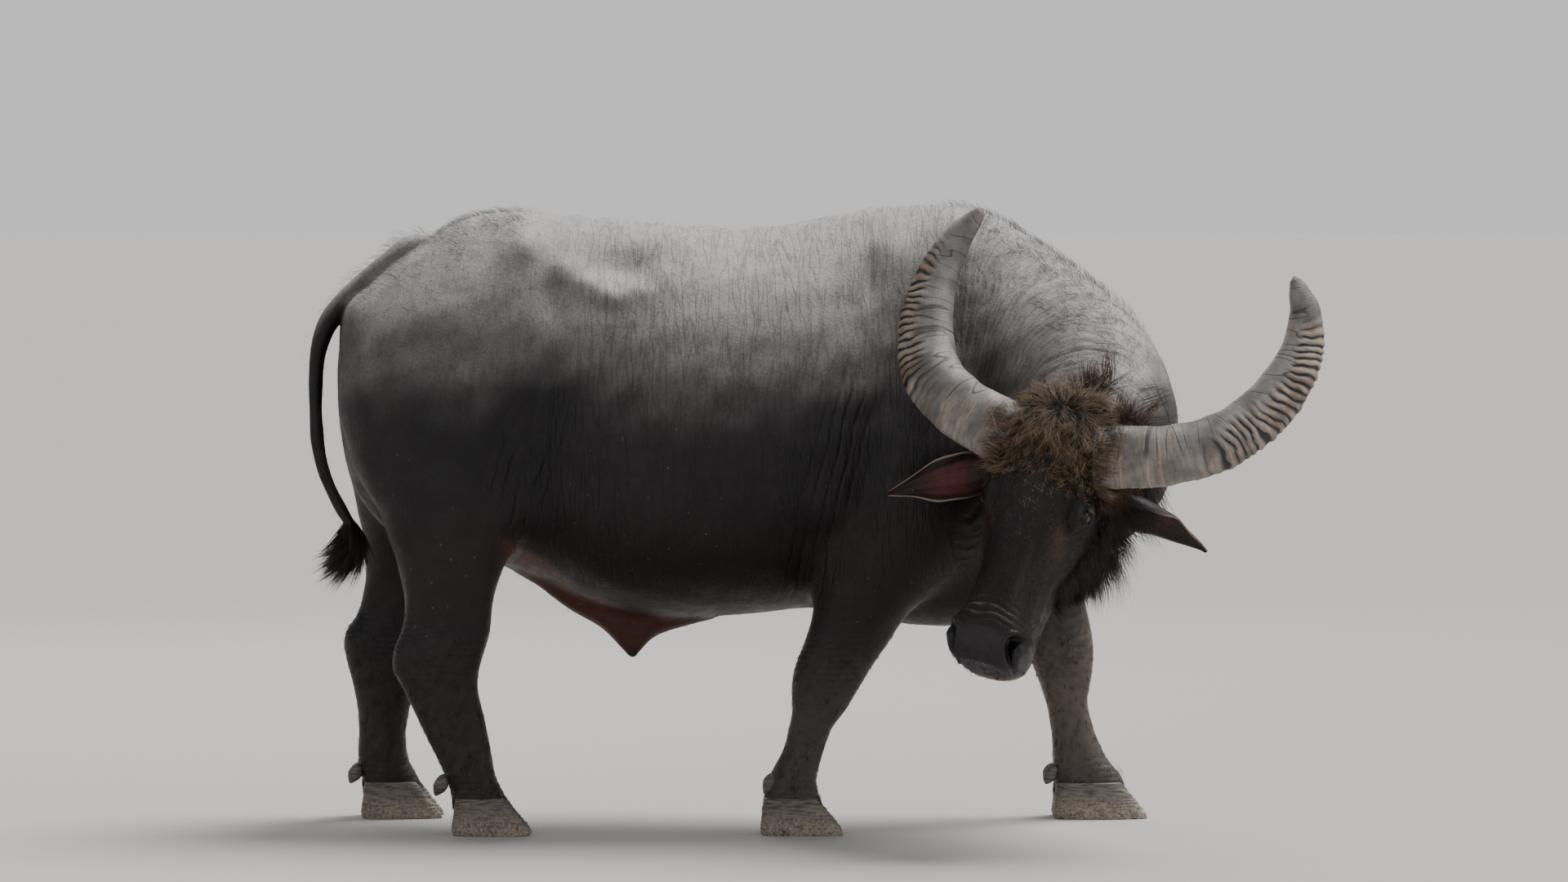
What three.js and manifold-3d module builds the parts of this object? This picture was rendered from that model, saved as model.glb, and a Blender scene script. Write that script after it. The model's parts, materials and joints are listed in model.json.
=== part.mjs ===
// A still, life-size water buffalo bull of the swamp type, in millimetres, +Z up.
// It stands in side view, facing +X, with its head lowered and turned to its right (-Y).
// The origin is the middle of the box round it, at floor level.
import * as THREE from "three";
import { mergeVertices } from "three/addons/utils/BufferGeometryUtils.js";
import Module from "manifold-3d";

const wasm = await Module();
wasm.setup();

// Driving dimensions. X runs from tail to chest, Z is the height above the floor, widths are half widths.
const GAP = 0.3; // what neighbouring nodes keep between them
const FAR = 6000; // side of the blocks that planes cut with
const MERGE = 1e-3; // points nearer than this are one
const SIDES = [-1, 1]; // the animal's right and its left

// Corners round each kind of section.
const RING_BODY = 24;
const RING_LEG = 14;
const RING_HEAD = 22;
const RING_HORN = 14;
const RING_TAIL = 8;
const RING_SHEATH = 12;
const RING_CLAW = 10;
const RING_LID = 6;

// Trunk stations: [x, top, widest height, bottom, half width, roundness above, roundness below].
// A roundness of 2 is an ellipse, less is a roof or keel, more is a box.
const TRUNK = [
  [-948, 1060, 960, 860, 60, 2.0, 2.0],
  [-925, 1120, 960, 740, 165, 2.0, 2.0],
  [-860, 1180, 960, 640, 215, 2.0, 2.0],
  [-770, 1248, 960, 580, 240, 1.9, 2.1],
  [-690, 1292, 960, 556, 256, 1.9, 2.2],
  [-600, 1313, 940, 556, 268, 1.9, 2.2],
  [-500, 1309, 900, 520, 295, 1.9, 2.1],
  [-400, 1301, 860, 470, 325, 1.9, 2.1],
  [-280, 1291, 830, 443, 350, 1.95, 2.1],
  [-160, 1282, 820, 444, 358, 2.0, 2.1],
  [-50, 1279, 820, 452, 348, 2.0, 2.1],
  [60, 1295, 830, 462, 320, 1.95, 2.0],
  [160, 1319, 840, 445, 290, 1.8, 2.0],
  [260, 1330, 850, 428, 268, 1.75, 2.0],
  [360, 1322, 850, 424, 250, 1.75, 2.0],
  [450, 1240, 850, 440, 220, 1.9, 2.0],
  [530, 1110, 830, 490, 180, 2.0, 2.0],
  [590, 990, 810, 590, 110, 2.0, 2.0],
];

// Neck stations: [centre x, y, z, rise to the crest, drop to the throat, half width].
const NECK = [
  [240, 0, 900, 385, 400, 200],
  [330, 0, 895, 432, 440, 226],
  [420, -8, 885, 430, 440, 228],
  [500, -42, 878, 388, 398, 222],
  [568, -108, 868, 338, 338, 213],
  [618, -195, 858, 292, 280, 204],
  [642, -285, 848, 245, 232, 188],
  [642, -370, 836, 190, 196, 158],
  [622, -445, 815, 138, 150, 118],
  [600, -485, 800, 90, 100, 80],
];
const NECK_ROUNDNESS = 2.1;

// The collar parts neck from torso: a plane from the withers down to the point of the shoulder.
const COLLAR_AT = [330, 0, 1330];
const COLLAR_FACING = [0.9, -0.22, 0.37];

// The head has its own frame: a runs to the animal's left, b up the face to the poll, c out of the forehead.
const HEAD_AT = [566, -520, 835]; // midway between the horn bases
const HEAD_PITCH = 25; // degrees that the nose swings forward of plumb, towards -Y
const HEAD_YAW = 24; // degrees that the face turns from -Y towards -X
const HEAD_ROLL = 12.5; // degrees that the chin leans towards -X

// Head stations: [b, half width, forehead c, jaw c, widest c, roundness above, roundness below].
const HEAD = [
  [104, 40, 0, -70, -35, 2.0, 2.0],
  [88, 84, 38, -110, -35, 2.1, 2.0],
  [50, 112, 58, -150, -35, 2.2, 2.1],
  [0, 118, 62, -182, -35, 2.3, 2.1],
  [-60, 118, 58, -212, -40, 2.3, 2.2],
  [-110, 117, 53, -240, -48, 2.3, 2.3],
  [-160, 113, 50, -249, -60, 2.3, 2.4],
  [-210, 102, 47, -238, -70, 2.2, 2.4],
  [-270, 84, 43, -200, -70, 2.2, 2.4],
  [-330, 77, 38, -174, -70, 2.3, 2.5],
  [-390, 79, 33, -156, -66, 2.6, 2.8],
  [-438, 85, 28, -146, -62, 2.9, 3.0],
  [-472, 78, 8, -138, -64, 2.8, 2.8],
  [-494, 52, -26, -120, -72, 2.5, 2.5],
];
const ORBIT_AT = [92, -143, -6]; // centre of the bony rim round each eye
const ORBIT_SIZE = [20, 44, 34];
const EYE_AT = [99, -144, -4];
const EYE_RADIUS = 21;
const EYE_TURN = 30; // degrees that each eye faces forward of straight sideways
const LID_THICK = 6;
const LID_STEPS = 7; // stretches from corner to corner
const LID_OPEN = 0.6; // half the slit between the lids, as a share of the eye's radius
const LID_SLANT = 4; // how much higher the rear corner of the eye is
const NOSTRIL_AT = [63, -455, -12];
const NOSTRIL_SIZE = [12, 31, 17];
const NOSTRIL_SLANT = 28; // degrees that the lower end lies nearer to the middle
const MOUTH_AT = [0, -460, -103];
const MOUTH_CUT = 3; // height of the line between the lips
const MOUTH_LENGTH = 74; // from the nose end to the middle of the part that stays whole
const MOUTH_CORE = [58, 94, 60];

// Horn centre line in the head's frame, then its broad width and its thickness at the same stations.
const HORN = [
  [92, -14, 6, 136, 92],
  [150, 0, 6, 136, 90],
  [238, 28, 4, 131, 86],
  [323, 84, -4, 125, 82],
  [379, 172, -18, 118, 76],
  [405, 258, -22, 106, 68],
  [410, 335, -18, 88, 58],
  [394, 406, -4, 66, 46],
  [370, 444, 12, 45, 34],
  [356, 464, 22, 24, 20],
];
const HORN_EDGE = 0.22; // how much thinner the outer edge of the section is than the middle
const HORN_POINT = 10; // from the last station to the point

// Each ear is a cupped leaf: its root in the head's frame, and its reach and open side in the part's frame.
const EAR_LENGTH = 258;
const EAR_WIDTH = 98;
const EAR_THICK = 7;
const EAR_DROOP = 46; // how far the tip hangs under the line that the ear starts on
const EAR_SINK = 10; // how far the back of the root lies under the line
const EAR_ROLL_ROOT = 2.2; // half the arc across the leaf, in radians
const EAR_ROLL_TIP = 0.85;
const EAR_SPLITS = 5; // faces across each half of the leaf
const EAR_LEAF = [0.38, 0.6, 0.84, 1, 0.98, 0.84, 0.6, 0.32, 0.08]; // share of the width, root to tip
const EARS = [
  { sign: -1, root: [-104, -62, -70], reach: [-0.98, 0.15, 0.02], open: [0.05, -0.95, 0.1] },
  { sign: 1, root: [102, -46, -72], reach: [0.8, 0.42, -0.36], open: [-0.1, -0.5, -0.8] },
];

// Leg stations: [height, rear x, front x, outer y, inner y].
const FORELEG_RIGHT = [
  [1190, 150, 280, 130, 0],
  [1080, 110, 370, 225, 0],
  [960, 80, 440, 276, 0],
  [830, 60, 490, 296, 0],
  [700, 52, 500, 300, 0],
  [600, 52, 440, 292, 10],
  [520, 58, 335, 280, 50],
  [460, 56, 262, 266, 86],
  [400, 38, 221, 252, 108],
  [355, 20, 190, 243, 116],
  [305, 12, 160, 238, 120],
  [262, 14, 134, 232, 130],
  [220, 6, 103, 226, 140],
  [178, -5, 88, 224, 143],
  [135, -28, 76, 232, 135],
  [98, -44, 72, 234, 132],
  [50, -48, 84, 236, 130],
];
const FORELEG_LEFT = [
  [1190, 170, 300, 130, 0],
  [1080, 150, 400, 225, 0],
  [960, 160, 480, 276, 0],
  [830, 190, 550, 292, 0],
  [700, 240, 600, 290, 0],
  [600, 310, 630, 276, 20],
  [520, 385, 645, 262, 66],
  [460, 440, 656, 250, 92],
  [400, 492, 668, 242, 106],
  [355, 522, 673, 236, 112],
  [305, 544, 668, 230, 116],
  [256, 562, 660, 224, 126],
  [210, 572, 668, 222, 130],
  [165, 577, 684, 224, 128],
  [124, 578, 704, 230, 122],
  [90, 580, 726, 232, 120],
  [50, 582, 745, 233, 119],
];
const HINDLEG_RIGHT = [
  [1190, -740, -540, 170, 0],
  [1090, -880, -500, 246, 0],
  [960, -936, -480, 284, 0],
  [860, -936, -470, 296, 0],
  [760, -905, -478, 290, 10],
  [674, -858, -520, 278, 44],
  [568, -820, -582, 262, 92],
  [500, -803, -606, 255, 116],
  [430, -806, -614, 249, 130],
  [386, -822, -626, 246, 136],
  [348, -826, -637, 243, 140],
  [305, -804, -640, 240, 146],
  [249, -777, -627, 237, 152],
  [196, -752, -616, 236, 156],
  [134, -720, -606, 244, 148],
  [92, -704, -592, 246, 146],
  [50, -696, -572, 247, 145],
];
const HINDLEG_LEFT = [
  [1190, -750, -560, 170, 0],
  [1090, -890, -520, 246, 0],
  [960, -945, -500, 284, 0],
  [860, -948, -500, 294, 0],
  [760, -944, -520, 288, 10],
  [674, -928, -570, 276, 44],
  [568, -908, -640, 258, 88],
  [500, -912, -690, 248, 106],
  [440, -926, -730, 242, 114],
  [390, -952, -756, 238, 120],
  [345, -950, -776, 236, 126],
  [285, -936, -796, 232, 134],
  [230, -926, -808, 230, 140],
  [177, -924, -816, 230, 142],
  [125, -926, -810, 236, 134],
  [90, -918, -796, 238, 132],
  [50, -912, -778, 239, 131],
];
const LEG_ROUNDNESS = 2.3;
const LEG_ROUND_ABOVE = 620; // over this height shoulder and thigh are plain ovals
const LEGS = [
  { name: "foreleg_right", sign: -1, rows: FORELEG_RIGHT, top: 452, joint: 262 },
  { name: "foreleg_left", sign: 1, rows: FORELEG_LEFT, top: 490, joint: 256 },
  { name: "hindleg_right", sign: -1, rows: HINDLEG_RIGHT, top: 600, joint: 305 },
  { name: "hindleg_left", sign: 1, rows: HINDLEG_LEFT, top: 600, joint: 300 },
];

// A hoof is two claws under the pastern. The coronet, where skin meets horn, falls from toe to heel.
const CORONET_HEIGHT = 62;
const CORONET_FALL = 0.2; // drop per millimetre of length towards the heel
const TOE_SLOPE = 0.8; // how far the toe runs forward for each millimetre down
const HEEL_SLOPE = 0.12;
const CLAW_SPREAD = 3; // degrees that each claw turns out
const CLAW_SPLIT = 8; // space between the two claws
const CLAW_INSET = 4; // how far the claws start inside the ends of the pastern
const CLAW_WIDEST = 0.4; // where a claw is widest, as a share of its length from the heel
const CLAW_INSIDE = 0.86; // how much flatter a claw is on the side towards its pair
// Levels of a claw: height, share of the width, inset of heel and toe.
const CLAW_LEVELS = [[0, 1.04, 4], [12, 1.1, 0], [40, 1.06, 0], [92, 1, 0]];
const DEWCLAW_LENGTH = 46;
const DEWCLAW_WIDTH = 26;
const DEWCLAW_LEAN = 28; // degrees
const DEWCLAW_APART = 24; // from the middle of the leg to each side
const DEWCLAW_DROP = 30; // below the fetlock

// Tail centre line: [x, y, z, width], from its root to the end of the dock.
const TAIL = [
  [-735, 0, 1232, 62],
  [-785, 0, 1232, 60],
  [-835, 0, 1200, 56],
  [-905, 0, 1146, 50],
  [-962, 0, 1088, 44],
  [-986, 0, 1036, 38],
  [-997, 0, 965, 33],
  [-998, 0, 878, 29],
  [-990, 0, 790, 27],
  [-962, 0, 708, 25],
  [-912, 0, 622, 24],
];
const SWITCH = [ // its first row is above the joint
  [-938, 0, 676, 25],
  [-926, 0, 652, 34],
  [-912, 0, 622, 46],
  [-912, 0, 592, 52],
  [-932, 0, 570, 44],
  [-970, 0, 558, 28],
  [-1010, 0, 552, 6],
];
const TAIL_CUTS = [0.36, 0.72]; // shares of the dock where it is parted

// The flap of skin under the belly that ends in the sheath: [x, top, bottom, half width].
const SHEATH = [
  [-600, 600, 552, 14],
  [-530, 560, 511, 26],
  [-456, 520, 459, 34],
  [-391, 490, 422, 38],
  [-345, 480, 374, 34],
  [-322, 476, 352, 26],
  [-300, 474, 378, 32],
  [-270, 474, 405, 32],
  [-200, 476, 428, 22],
  [-150, 478, 440, 12],
];
const SHEATH_TOP = 40; // from its top to its widest line
const SCROTUM_AT = [-700, 0, 545];
const SCROTUM_SIZE = [58, 52, 88];

// Locks. Each is a flat, tapered strand: shares of its width at stations from its sunk root to its tip.
const LOCK_SHARES = [0.2, 0.74, 0.9, 0.06];
const LOCK_RIDGE = 0.62; // height of the ridge as a share of half the width
const LOCK_SINK = 14; // how deep the root is set
const LOCK_SEED = 7;

// The tuft between the horns grows from a round patch over the poll and falls forward over the forehead.
const POLL_AT = [0, 30, -40];
const POLL_SIZE = [104, 73, 99];
const POLL_ROWS = [
  { over: -30, columns: 5, spread: 44 }, // degrees forward of the top, and degrees to each side
  { over: -4, columns: 6, spread: 50 },
  { over: 20, columns: 7, spread: 54 },
  { over: 44, columns: 6, spread: 52 },
  { over: 66, columns: 5, spread: 44 },
];
const POLL_LOCK = { length: 104, width: 54, lift: 0.6 };

// The fringe along each jaw hangs back and down from two rows of roots.
const JAW_ROWS = [
  { turn: -42, first: -60, last: -246, count: 7 }, // degrees round the head, first and last b
  { turn: -64, first: -78, last: -234, count: 6 },
];
const JAW_LOCK = { length: 92, width: 52, lift: 0.5 };

// The tail's brush: strands that follow the sweep of its core and end at different lengths.
const BRUSH_STRANDS = 12;
const BRUSH_CORE = 0.5; // share of the sweep that the core reaches
const BRUSH_WIDTH = 26;

const SKIN = "#2b2a2b";
const HORN_GREY = "#4b4843";
const HOOF_BLACK = "#1f1d1c";
const EYE_BLACK = "#0d0a09";
const SKIN_RED = "#5a3027";
const HAIR_BROWN = "#2a1d15";

// Rows of numbers with rows worked out between them on a smooth curve through all (Catmull-Rom).
function smoothRows(rows, steps) {
  const last = rows.length - 1;
  const made = [];
  for (let i = 0; i < last; i += 1) {
    const before = rows[Math.max(i - 1, 0)];
    const after = rows[Math.min(i + 2, last)];
    for (let k = 0; k < steps; k += 1) {
      const t = k / steps;
      made.push(rows[i].map((p, j) => {
        const q = rows[i + 1][j];
        const m = (q - before[j]) / 2;
        const n = (after[j] - p) / 2;
        return (2 * t ** 3 - 3 * t ** 2 + 1) * p + (t ** 3 - 2 * t ** 2 + t) * m
          + (3 * t ** 2 - 2 * t ** 3) * q + (t ** 3 - t ** 2) * n;
      }));
    }
  }
  made.push(rows[last].slice());
  return made;
}

// A closed geometry through rings of equal count, each counter-clockwise seen from the last one's end.
function loft(rings) {
  const count = rings[0].length;
  const points = rings.flat();
  const index = [];
  for (let i = 0; i < rings.length - 1; i += 1) {
    for (let j = 0; j < count; j += 1) {
      const a = i * count + j;
      const b = i * count + ((j + 1) % count);
      index.push(a, b, b + count, a, b + count, a + count);
    }
  }
  const middle = (ring) => ring.reduce((s, p) => s.add(p), new THREE.Vector3()).divideScalar(count);
  const start = points.push(middle(rings[0])) - 1;
  const end = points.push(middle(rings[rings.length - 1])) - 1;
  const last = (rings.length - 1) * count;
  for (let j = 0; j < count; j += 1) {
    const k = (j + 1) % count;
    index.push(start, k, j, end, last + j, last + k);
  }
  const geometry = new THREE.BufferGeometry().setFromPoints(points);
  geometry.setIndex(index);
  return geometry;
}

// A three.js geometry as a manifold-3d solid, turned right way out.
function solid(geometry) {
  const bare = geometry.clone();
  bare.deleteAttribute("normal");
  bare.deleteAttribute("uv");
  const merged = mergeVertices(bare, MERGE);
  const vertProperties = new Float32Array(merged.attributes.position.array);
  const close = (index) => {
    const triVerts = new Uint32Array(index);
    return new wasm.Manifold(new wasm.Mesh({ numProp: 3, vertProperties, triVerts }));
  };
  const made = close(merged.index.array);
  return made.volume() > 0 ? made : close(merged.index.array.toReversed());
}

// The largest closed surface of a solid, which drops loose scraps and sealed hollows.
function largest(body) {
  return body.decompose().reduce((best, piece) => (piece.volume() > best.volume() ? piece : best));
}

const steps = (count, make) => Array.from({ length: count }, (unused, j) => make(j));
const join = (bodies) => bodies.reduce((all, body) => all.add(body));
const cut = (body, tools) => tools.reduce((left, tool) => left.subtract(tool), body);

// The power of a cosine or sine that makes an ellipse into a fuller or leaner curve.
const lean = (value, roundness) => Math.sign(value) * Math.abs(value) ** (2 / roundness);

// Corner j of count round a section: [sideways, upwards], with a rise above and a drop below the widest line.
function corner(j, count, width, rise, drop, above, below) {
  return outline((2 * Math.PI * j) / count, width, rise, drop, above, below);
}

// The same outline at any turn from the widest line.
function outline(turn, width, rise, drop, above, below) {
  const up = Math.sin(turn);
  const roundness = up > 0 ? above : below;
  return [width * lean(Math.cos(turn), roundness), (up > 0 ? rise : drop) * lean(up, roundness)];
}

// Everything on the side of a plane that it faces.
function beyond(point, facing) {
  const geometry = new THREE.BoxGeometry(FAR, FAR, FAR);
  geometry.translate(0, 0, FAR / 2);
  const towards = new THREE.Vector3(...facing).normalize();
  geometry.applyQuaternion(new THREE.Quaternion().setFromUnitVectors(new THREE.Vector3(0, 0, 1), towards));
  geometry.translate(...point);
  return solid(geometry);
}
const above = (z) => beyond([0, 0, z], [0, 0, 1]);
const below = (z) => beyond([0, 0, z], [0, 0, -1]);

// The direction from the station before to the station after, along rows that start with x, y, z.
function course(rows, i) {
  const before = rows[Math.max(i - 1, 0)];
  const after = rows[Math.min(i + 1, rows.length - 1)];
  return new THREE.Vector3(after[0] - before[0], after[1] - before[1], after[2] - before[2]).normalize();
}

// Upright sections along X, each grown by a margin.
function trunkSolid(margin) {
  const rings = TRUNK.map(([x, top, widest, bottom, width, roof, keel], i) => {
    const end = i === TRUNK.length - 1 ? margin : i === 0 ? -margin : 0;
    const rise = top - widest + margin;
    const drop = widest - bottom + margin;
    return steps(RING_BODY, (j) => {
      const [y, z] = corner(j, RING_BODY, width + margin, rise, drop, roof, keel);
      return new THREE.Vector3(x + end, y, widest + z);
    });
  });
  return solid(loft(rings));
}

// Upright sections square to a bent centre line, with the crest up.
function neckSolid(margin) {
  const rings = NECK.map(([x, y, z, rise, drop, width], i) => {
    const along = course(NECK, i).setZ(0).normalize();
    const side = new THREE.Vector3(-along.y, along.x, 0);
    return steps(RING_BODY, (j) => {
      const reach = [width + margin, rise + margin, drop + margin];
      const [w, h] = corner(j, RING_BODY, ...reach, NECK_ROUNDNESS, NECK_ROUNDNESS);
      return new THREE.Vector3(x, y, z + h).addScaledVector(side, w);
    });
  });
  return solid(loft(rings));
}

// Level sections down a leg, grown by a margin on the sides.
function legSolid({ rows, sign }, margin) {
  const rings = rows.map(([z, rear, front, outer, inner]) => {
    const roundness = z > LEG_ROUND_ABOVE ? 2 : LEG_ROUNDNESS;
    const half = (outer - inner) / 2 + margin;
    const long = (front - rear) / 2 + margin;
    return steps(RING_LEG, (j) => {
      const [across, along] = corner(j, RING_LEG, half, long, long, roundness, roundness);
      return new THREE.Vector3((rear + front) / 2 + along, sign * ((outer + inner) / 2 + across), z);
    });
  });
  return solid(loft(rings));
}

// The head's frame as a matrix from [a, b, c] to the part's frame.
const headTurn = new THREE.Matrix4()
  .makeRotationY(THREE.MathUtils.degToRad(HEAD_ROLL))
  .multiply(new THREE.Matrix4().makeRotationZ(THREE.MathUtils.degToRad(-HEAD_YAW)))
  .multiply(new THREE.Matrix4().makeRotationX(THREE.MathUtils.degToRad(-HEAD_PITCH)));
const headAxes = new THREE.Matrix4().makeBasis(
  new THREE.Vector3(1, 0, 0), new THREE.Vector3(0, 0, 1), new THREE.Vector3(0, -1, 0));
const headFrame = new THREE.Matrix4().makeTranslation(...HEAD_AT).multiply(headTurn).multiply(headAxes);
const inHead = (a, b, c) => new THREE.Vector3(a, b, c).applyMatrix4(headFrame);
const turned = (a, b, c) => new THREE.Vector3(a, b, c).transformDirection(headFrame);

// A ball with a radius for each axis of the head's frame.
function headBall(centre, radii, detail) {
  const geometry = new THREE.SphereGeometry(1, detail, Math.round(detail * 0.6));
  geometry.scale(...radii);
  geometry.translate(...centre);
  geometry.applyMatrix4(headFrame);
  return solid(geometry);
}

// A row of random shares from 0 to 1 that is the same each time.
function seeded(seed) {
  let state = seed;
  return () => {
    state = (state * 1664525 + 1013904223) % 4294967296;
    return state / 4294967296;
  };
}

// A flat lock through points, one for each share of the width, with a ridge along its outer face.
function lockSolid(points, width, across) {
  const rings = points.map((p, i) => {
    const next = points[Math.min(i + 1, points.length - 1)];
    const along = next.clone().sub(points[Math.max(i - 1, 0)]).normalize();
    const side = across.clone().projectOnPlane(along).normalize();
    const face = new THREE.Vector3().crossVectors(along, side);
    const half = (width / 2) * LOCK_SHARES[i];
    return [[side, half], [face, half * LOCK_RIDGE], [side, -half]].map(
      ([direction, reach]) => p.clone().addScaledVector(direction, reach));
  });
  return solid(loft(rings));
}

// A lock from a root on the skin: it starts outwards and bends over along its lie.
function bentLock(root, outward, lie, { length, width, lift }, random) {
  const size = length * (0.8 + 0.4 * random());
  const across = new THREE.Vector3().crossVectors(outward, lie).normalize();
  const swerve = (random() - 0.5) * 0.5;
  const points = [0, 0.3, 0.68, 1].map((s) => root.clone()
    .addScaledVector(outward, size * lift * s * (1.05 - s) - (s === 0 ? LOCK_SINK : 0))
    .addScaledVector(lie, size * s * (0.55 + 0.45 * s) - (s === 0 ? LOCK_SINK : 0))
    .addScaledVector(across, size * swerve * s * s));
  return lockSolid(points, width * (0.85 + 0.3 * random()), across);
}

// Locks of the poll, from the crown forward.
function pollLocks(random) {
  return POLL_ROWS.flatMap(({ over, columns, spread }, row) => steps(columns, (j) => {
    const theta = THREE.MathUtils.degToRad(over + (random() - 0.5) * 10);
    const share = (j + 0.5 + (row % 2 ? 0.2 : -0.2)) / columns - 0.5;
    const phi = THREE.MathUtils.degToRad(spread * 2 * share);
    const ball = [Math.sin(phi), Math.cos(phi) * Math.cos(theta), Math.cos(phi) * Math.sin(theta)];
    const root = inHead(...POLL_AT.map((v, i) => v + POLL_SIZE[i] * ball[i]));
    const outward = turned(...ball.map((v, i) => v / POLL_SIZE[i])).normalize();
    const lie = turned(0.55 * Math.sin(phi), -Math.sin(theta) - 0.1, Math.cos(theta)).projectOnPlane(outward);
    return bentLock(root, outward, lie.normalize(), POLL_LOCK, random);
  }));
}

// Locks of one jaw, from under the ear to the chin groove.
function jawLocks(sign, random) {
  const rows = smoothRows(HEAD, 6);
  return JAW_ROWS.flatMap(({ turn, first, last, count }) => steps(count, (j) => {
    const at = first + ((last - first) * (j + 0.3 * random())) / (count - 1);
    const row = rows.reduce((best, r) => (Math.abs(r[0] - at) < Math.abs(best[0] - at) ? r : best));
    const [b, width, forehead, jaw, widest, front, back] = row;
    const angle = THREE.MathUtils.degToRad(turn);
    const [a, c] = outline(angle, width, forehead - widest, widest - jaw, front, back);
    const outward = turned(sign * Math.cos(angle), 0, Math.sin(angle)).normalize();
    const lie = turned(0, -0.8, -0.6).normalize();
    return bentLock(inHead(sign * a, b, widest + c), outward, lie, JAW_LOCK, random);
  }));
}

// Strands of the tail's brush round its core.
function brushLocks(random) {
  const rows = smoothRows(SWITCH, 4);
  const last = rows.length - 1;
  return steps(BRUSH_STRANDS, (j) => {
    const start = 0.2 + 0.34 * random();
    const end = 0.7 + 0.3 * random();
    const turn = (2 * Math.PI * (j + 0.4 * random())) / BRUSH_STRANDS;
    const points = LOCK_SHARES.map((share, i) => {
      const s = start + ((end - start) * i) / (LOCK_SHARES.length - 1);
      const row = rows[Math.round(s * last)];
      const along = course(rows, Math.round(s * last));
      const up = new THREE.Vector3(-along.z, 0, along.x);
      const radius = (row[3] / 2) * (i === 0 ? 0.35 : 0.9);
      return new THREE.Vector3(...row).addScaledVector(up, radius * Math.cos(turn))
        .add(new THREE.Vector3(0, radius * Math.sin(turn), 0));
    });
    const across = new THREE.Vector3(0, Math.cos(turn), -Math.sin(turn));
    return lockSolid(points, BRUSH_WIDTH * (0.8 + 0.4 * random()), across);
  });
}

const grow = (radii, margin) => radii.map((radius) => radius + margin);
const mirrored = ([a, b, c], sign) => [sign * a, b, c];

// The skull and muzzle as sections square to the face, with the rims of the eyes, all grown by a margin.
function craniumSolid(margin) {
  const rows = smoothRows(HEAD, 2);
  const rings = rows.map(([b, width, forehead, jaw, widest, front, back], i) => {
    const end = i === 0 ? margin : i === rows.length - 1 ? -margin : 0;
    const rise = forehead - widest + margin;
    const drop = widest - jaw + margin;
    return steps(RING_HEAD, (j) => {
      const [a, c] = corner(j, RING_HEAD, width + margin, rise, drop, front, back);
      return inHead(a, b + end, widest + c);
    });
  });
  const orbits = SIDES.map((sign) => headBall(mirrored(ORBIT_AT, sign), grow(ORBIT_SIZE, margin), 12));
  return join([solid(loft(rings)), ...orbits]);
}

const eyeSolid = (sign, margin) => headBall(mirrored(EYE_AT, sign), Array(3).fill(EYE_RADIUS + margin), 12);

// One lid: a tapered roll over or under the ball, from corner to corner of the eye.
function lidSolid(sign, upper) {
  const facing = THREE.MathUtils.degToRad(EYE_TURN);
  const rings = steps(LID_STEPS + 1, (i) => {
    const swing = (Math.PI * i) / LID_STEPS;
    const along = -Math.cos(swing) * EYE_RADIUS * 0.9;
    const rise = upper * Math.sin(swing) * EYE_RADIUS * LID_OPEN + Math.cos(swing) * LID_SLANT;
    const out = Math.sqrt(EYE_RADIUS ** 2 - along ** 2 - Math.min(rise ** 2, 60));
    const thick = LID_THICK * (0.45 + 0.55 * Math.sin(swing));
    return steps(RING_LID, (j) => {
      const turn = (2 * Math.PI * j) / RING_LID;
      const far = out + thick * 0.5 * Math.cos(turn);
      const a = EYE_AT[0] + far * Math.cos(facing) - along * Math.sin(facing);
      const c = EYE_AT[2] + far * Math.sin(facing) + along * Math.cos(facing);
      return inHead(sign * a, EYE_AT[1] + rise + thick * (Math.sin(turn) + 0.7 * upper), c);
    });
  });
  return solid(loft(rings));
}

// One nostril: a slanted oval hollow on the upper side of the muzzle.
function nostrilSolid(sign) {
  const geometry = new THREE.SphereGeometry(1, 12, 8);
  geometry.scale(...NOSTRIL_SIZE);
  geometry.rotateZ(-sign * THREE.MathUtils.degToRad(NOSTRIL_SLANT));
  geometry.translate(...mirrored(NOSTRIL_AT, sign));
  return solid(geometry.applyMatrix4(headFrame));
}

// The line of the mouth: a thin slab round the end of the muzzle, left whole in its middle.
function mouthSolid() {
  const slab = new THREE.BoxGeometry(260, 110, MOUTH_CUT);
  slab.translate(0, MOUTH_AT[1], MOUTH_AT[2]);
  const core = new THREE.SphereGeometry(1, 18, 12);
  core.scale(...MOUTH_CORE);
  core.translate(0, MOUTH_AT[1] + MOUTH_LENGTH, MOUTH_AT[2]);
  const [line, kept] = [slab, core].map((geometry) => solid(geometry.applyMatrix4(headFrame)));
  return line.subtract(kept);
}

// One horn: a flattened, slightly three-cornered section swept along its curve, grown by a margin.
function hornSolid(sign, margin) {
  const rows = smoothRows(HORN, 2);
  const rings = rows.map(([a, b, c, broad, thick], i) => {
    const along = course(rows, i);
    const out = new THREE.Vector3(along.y, -along.x, 0).normalize();
    const front = new THREE.Vector3().crossVectors(out, along);
    const centre = new THREE.Vector3(a, b, c).addScaledVector(along, i === 0 ? -margin : 0);
    return steps(RING_HORN, (j) => {
      const turn = (2 * Math.PI * j) / RING_HORN;
      const wide = (broad / 2 + margin) * Math.cos(turn);
      const deep = (thick / 2 + margin) * Math.sin(turn) * (1 - HORN_EDGE * Math.cos(turn));
      const p = centre.clone().addScaledVector(out, wide).addScaledVector(front, deep);
      return inHead(sign * p.x, p.y, p.z);
    });
  });
  const tip = rings[rings.length - 1];
  const [a, b, c] = rows[rows.length - 1];
  const point = new THREE.Vector3(a, b, c).addScaledVector(course(rows, rows.length - 1), HORN_POINT);
  rings.push(tip.map((p) => p.clone().lerp(inHead(sign * point.x, point.y, point.z), 0.75)));
  return solid(loft(rings));
}

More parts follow.
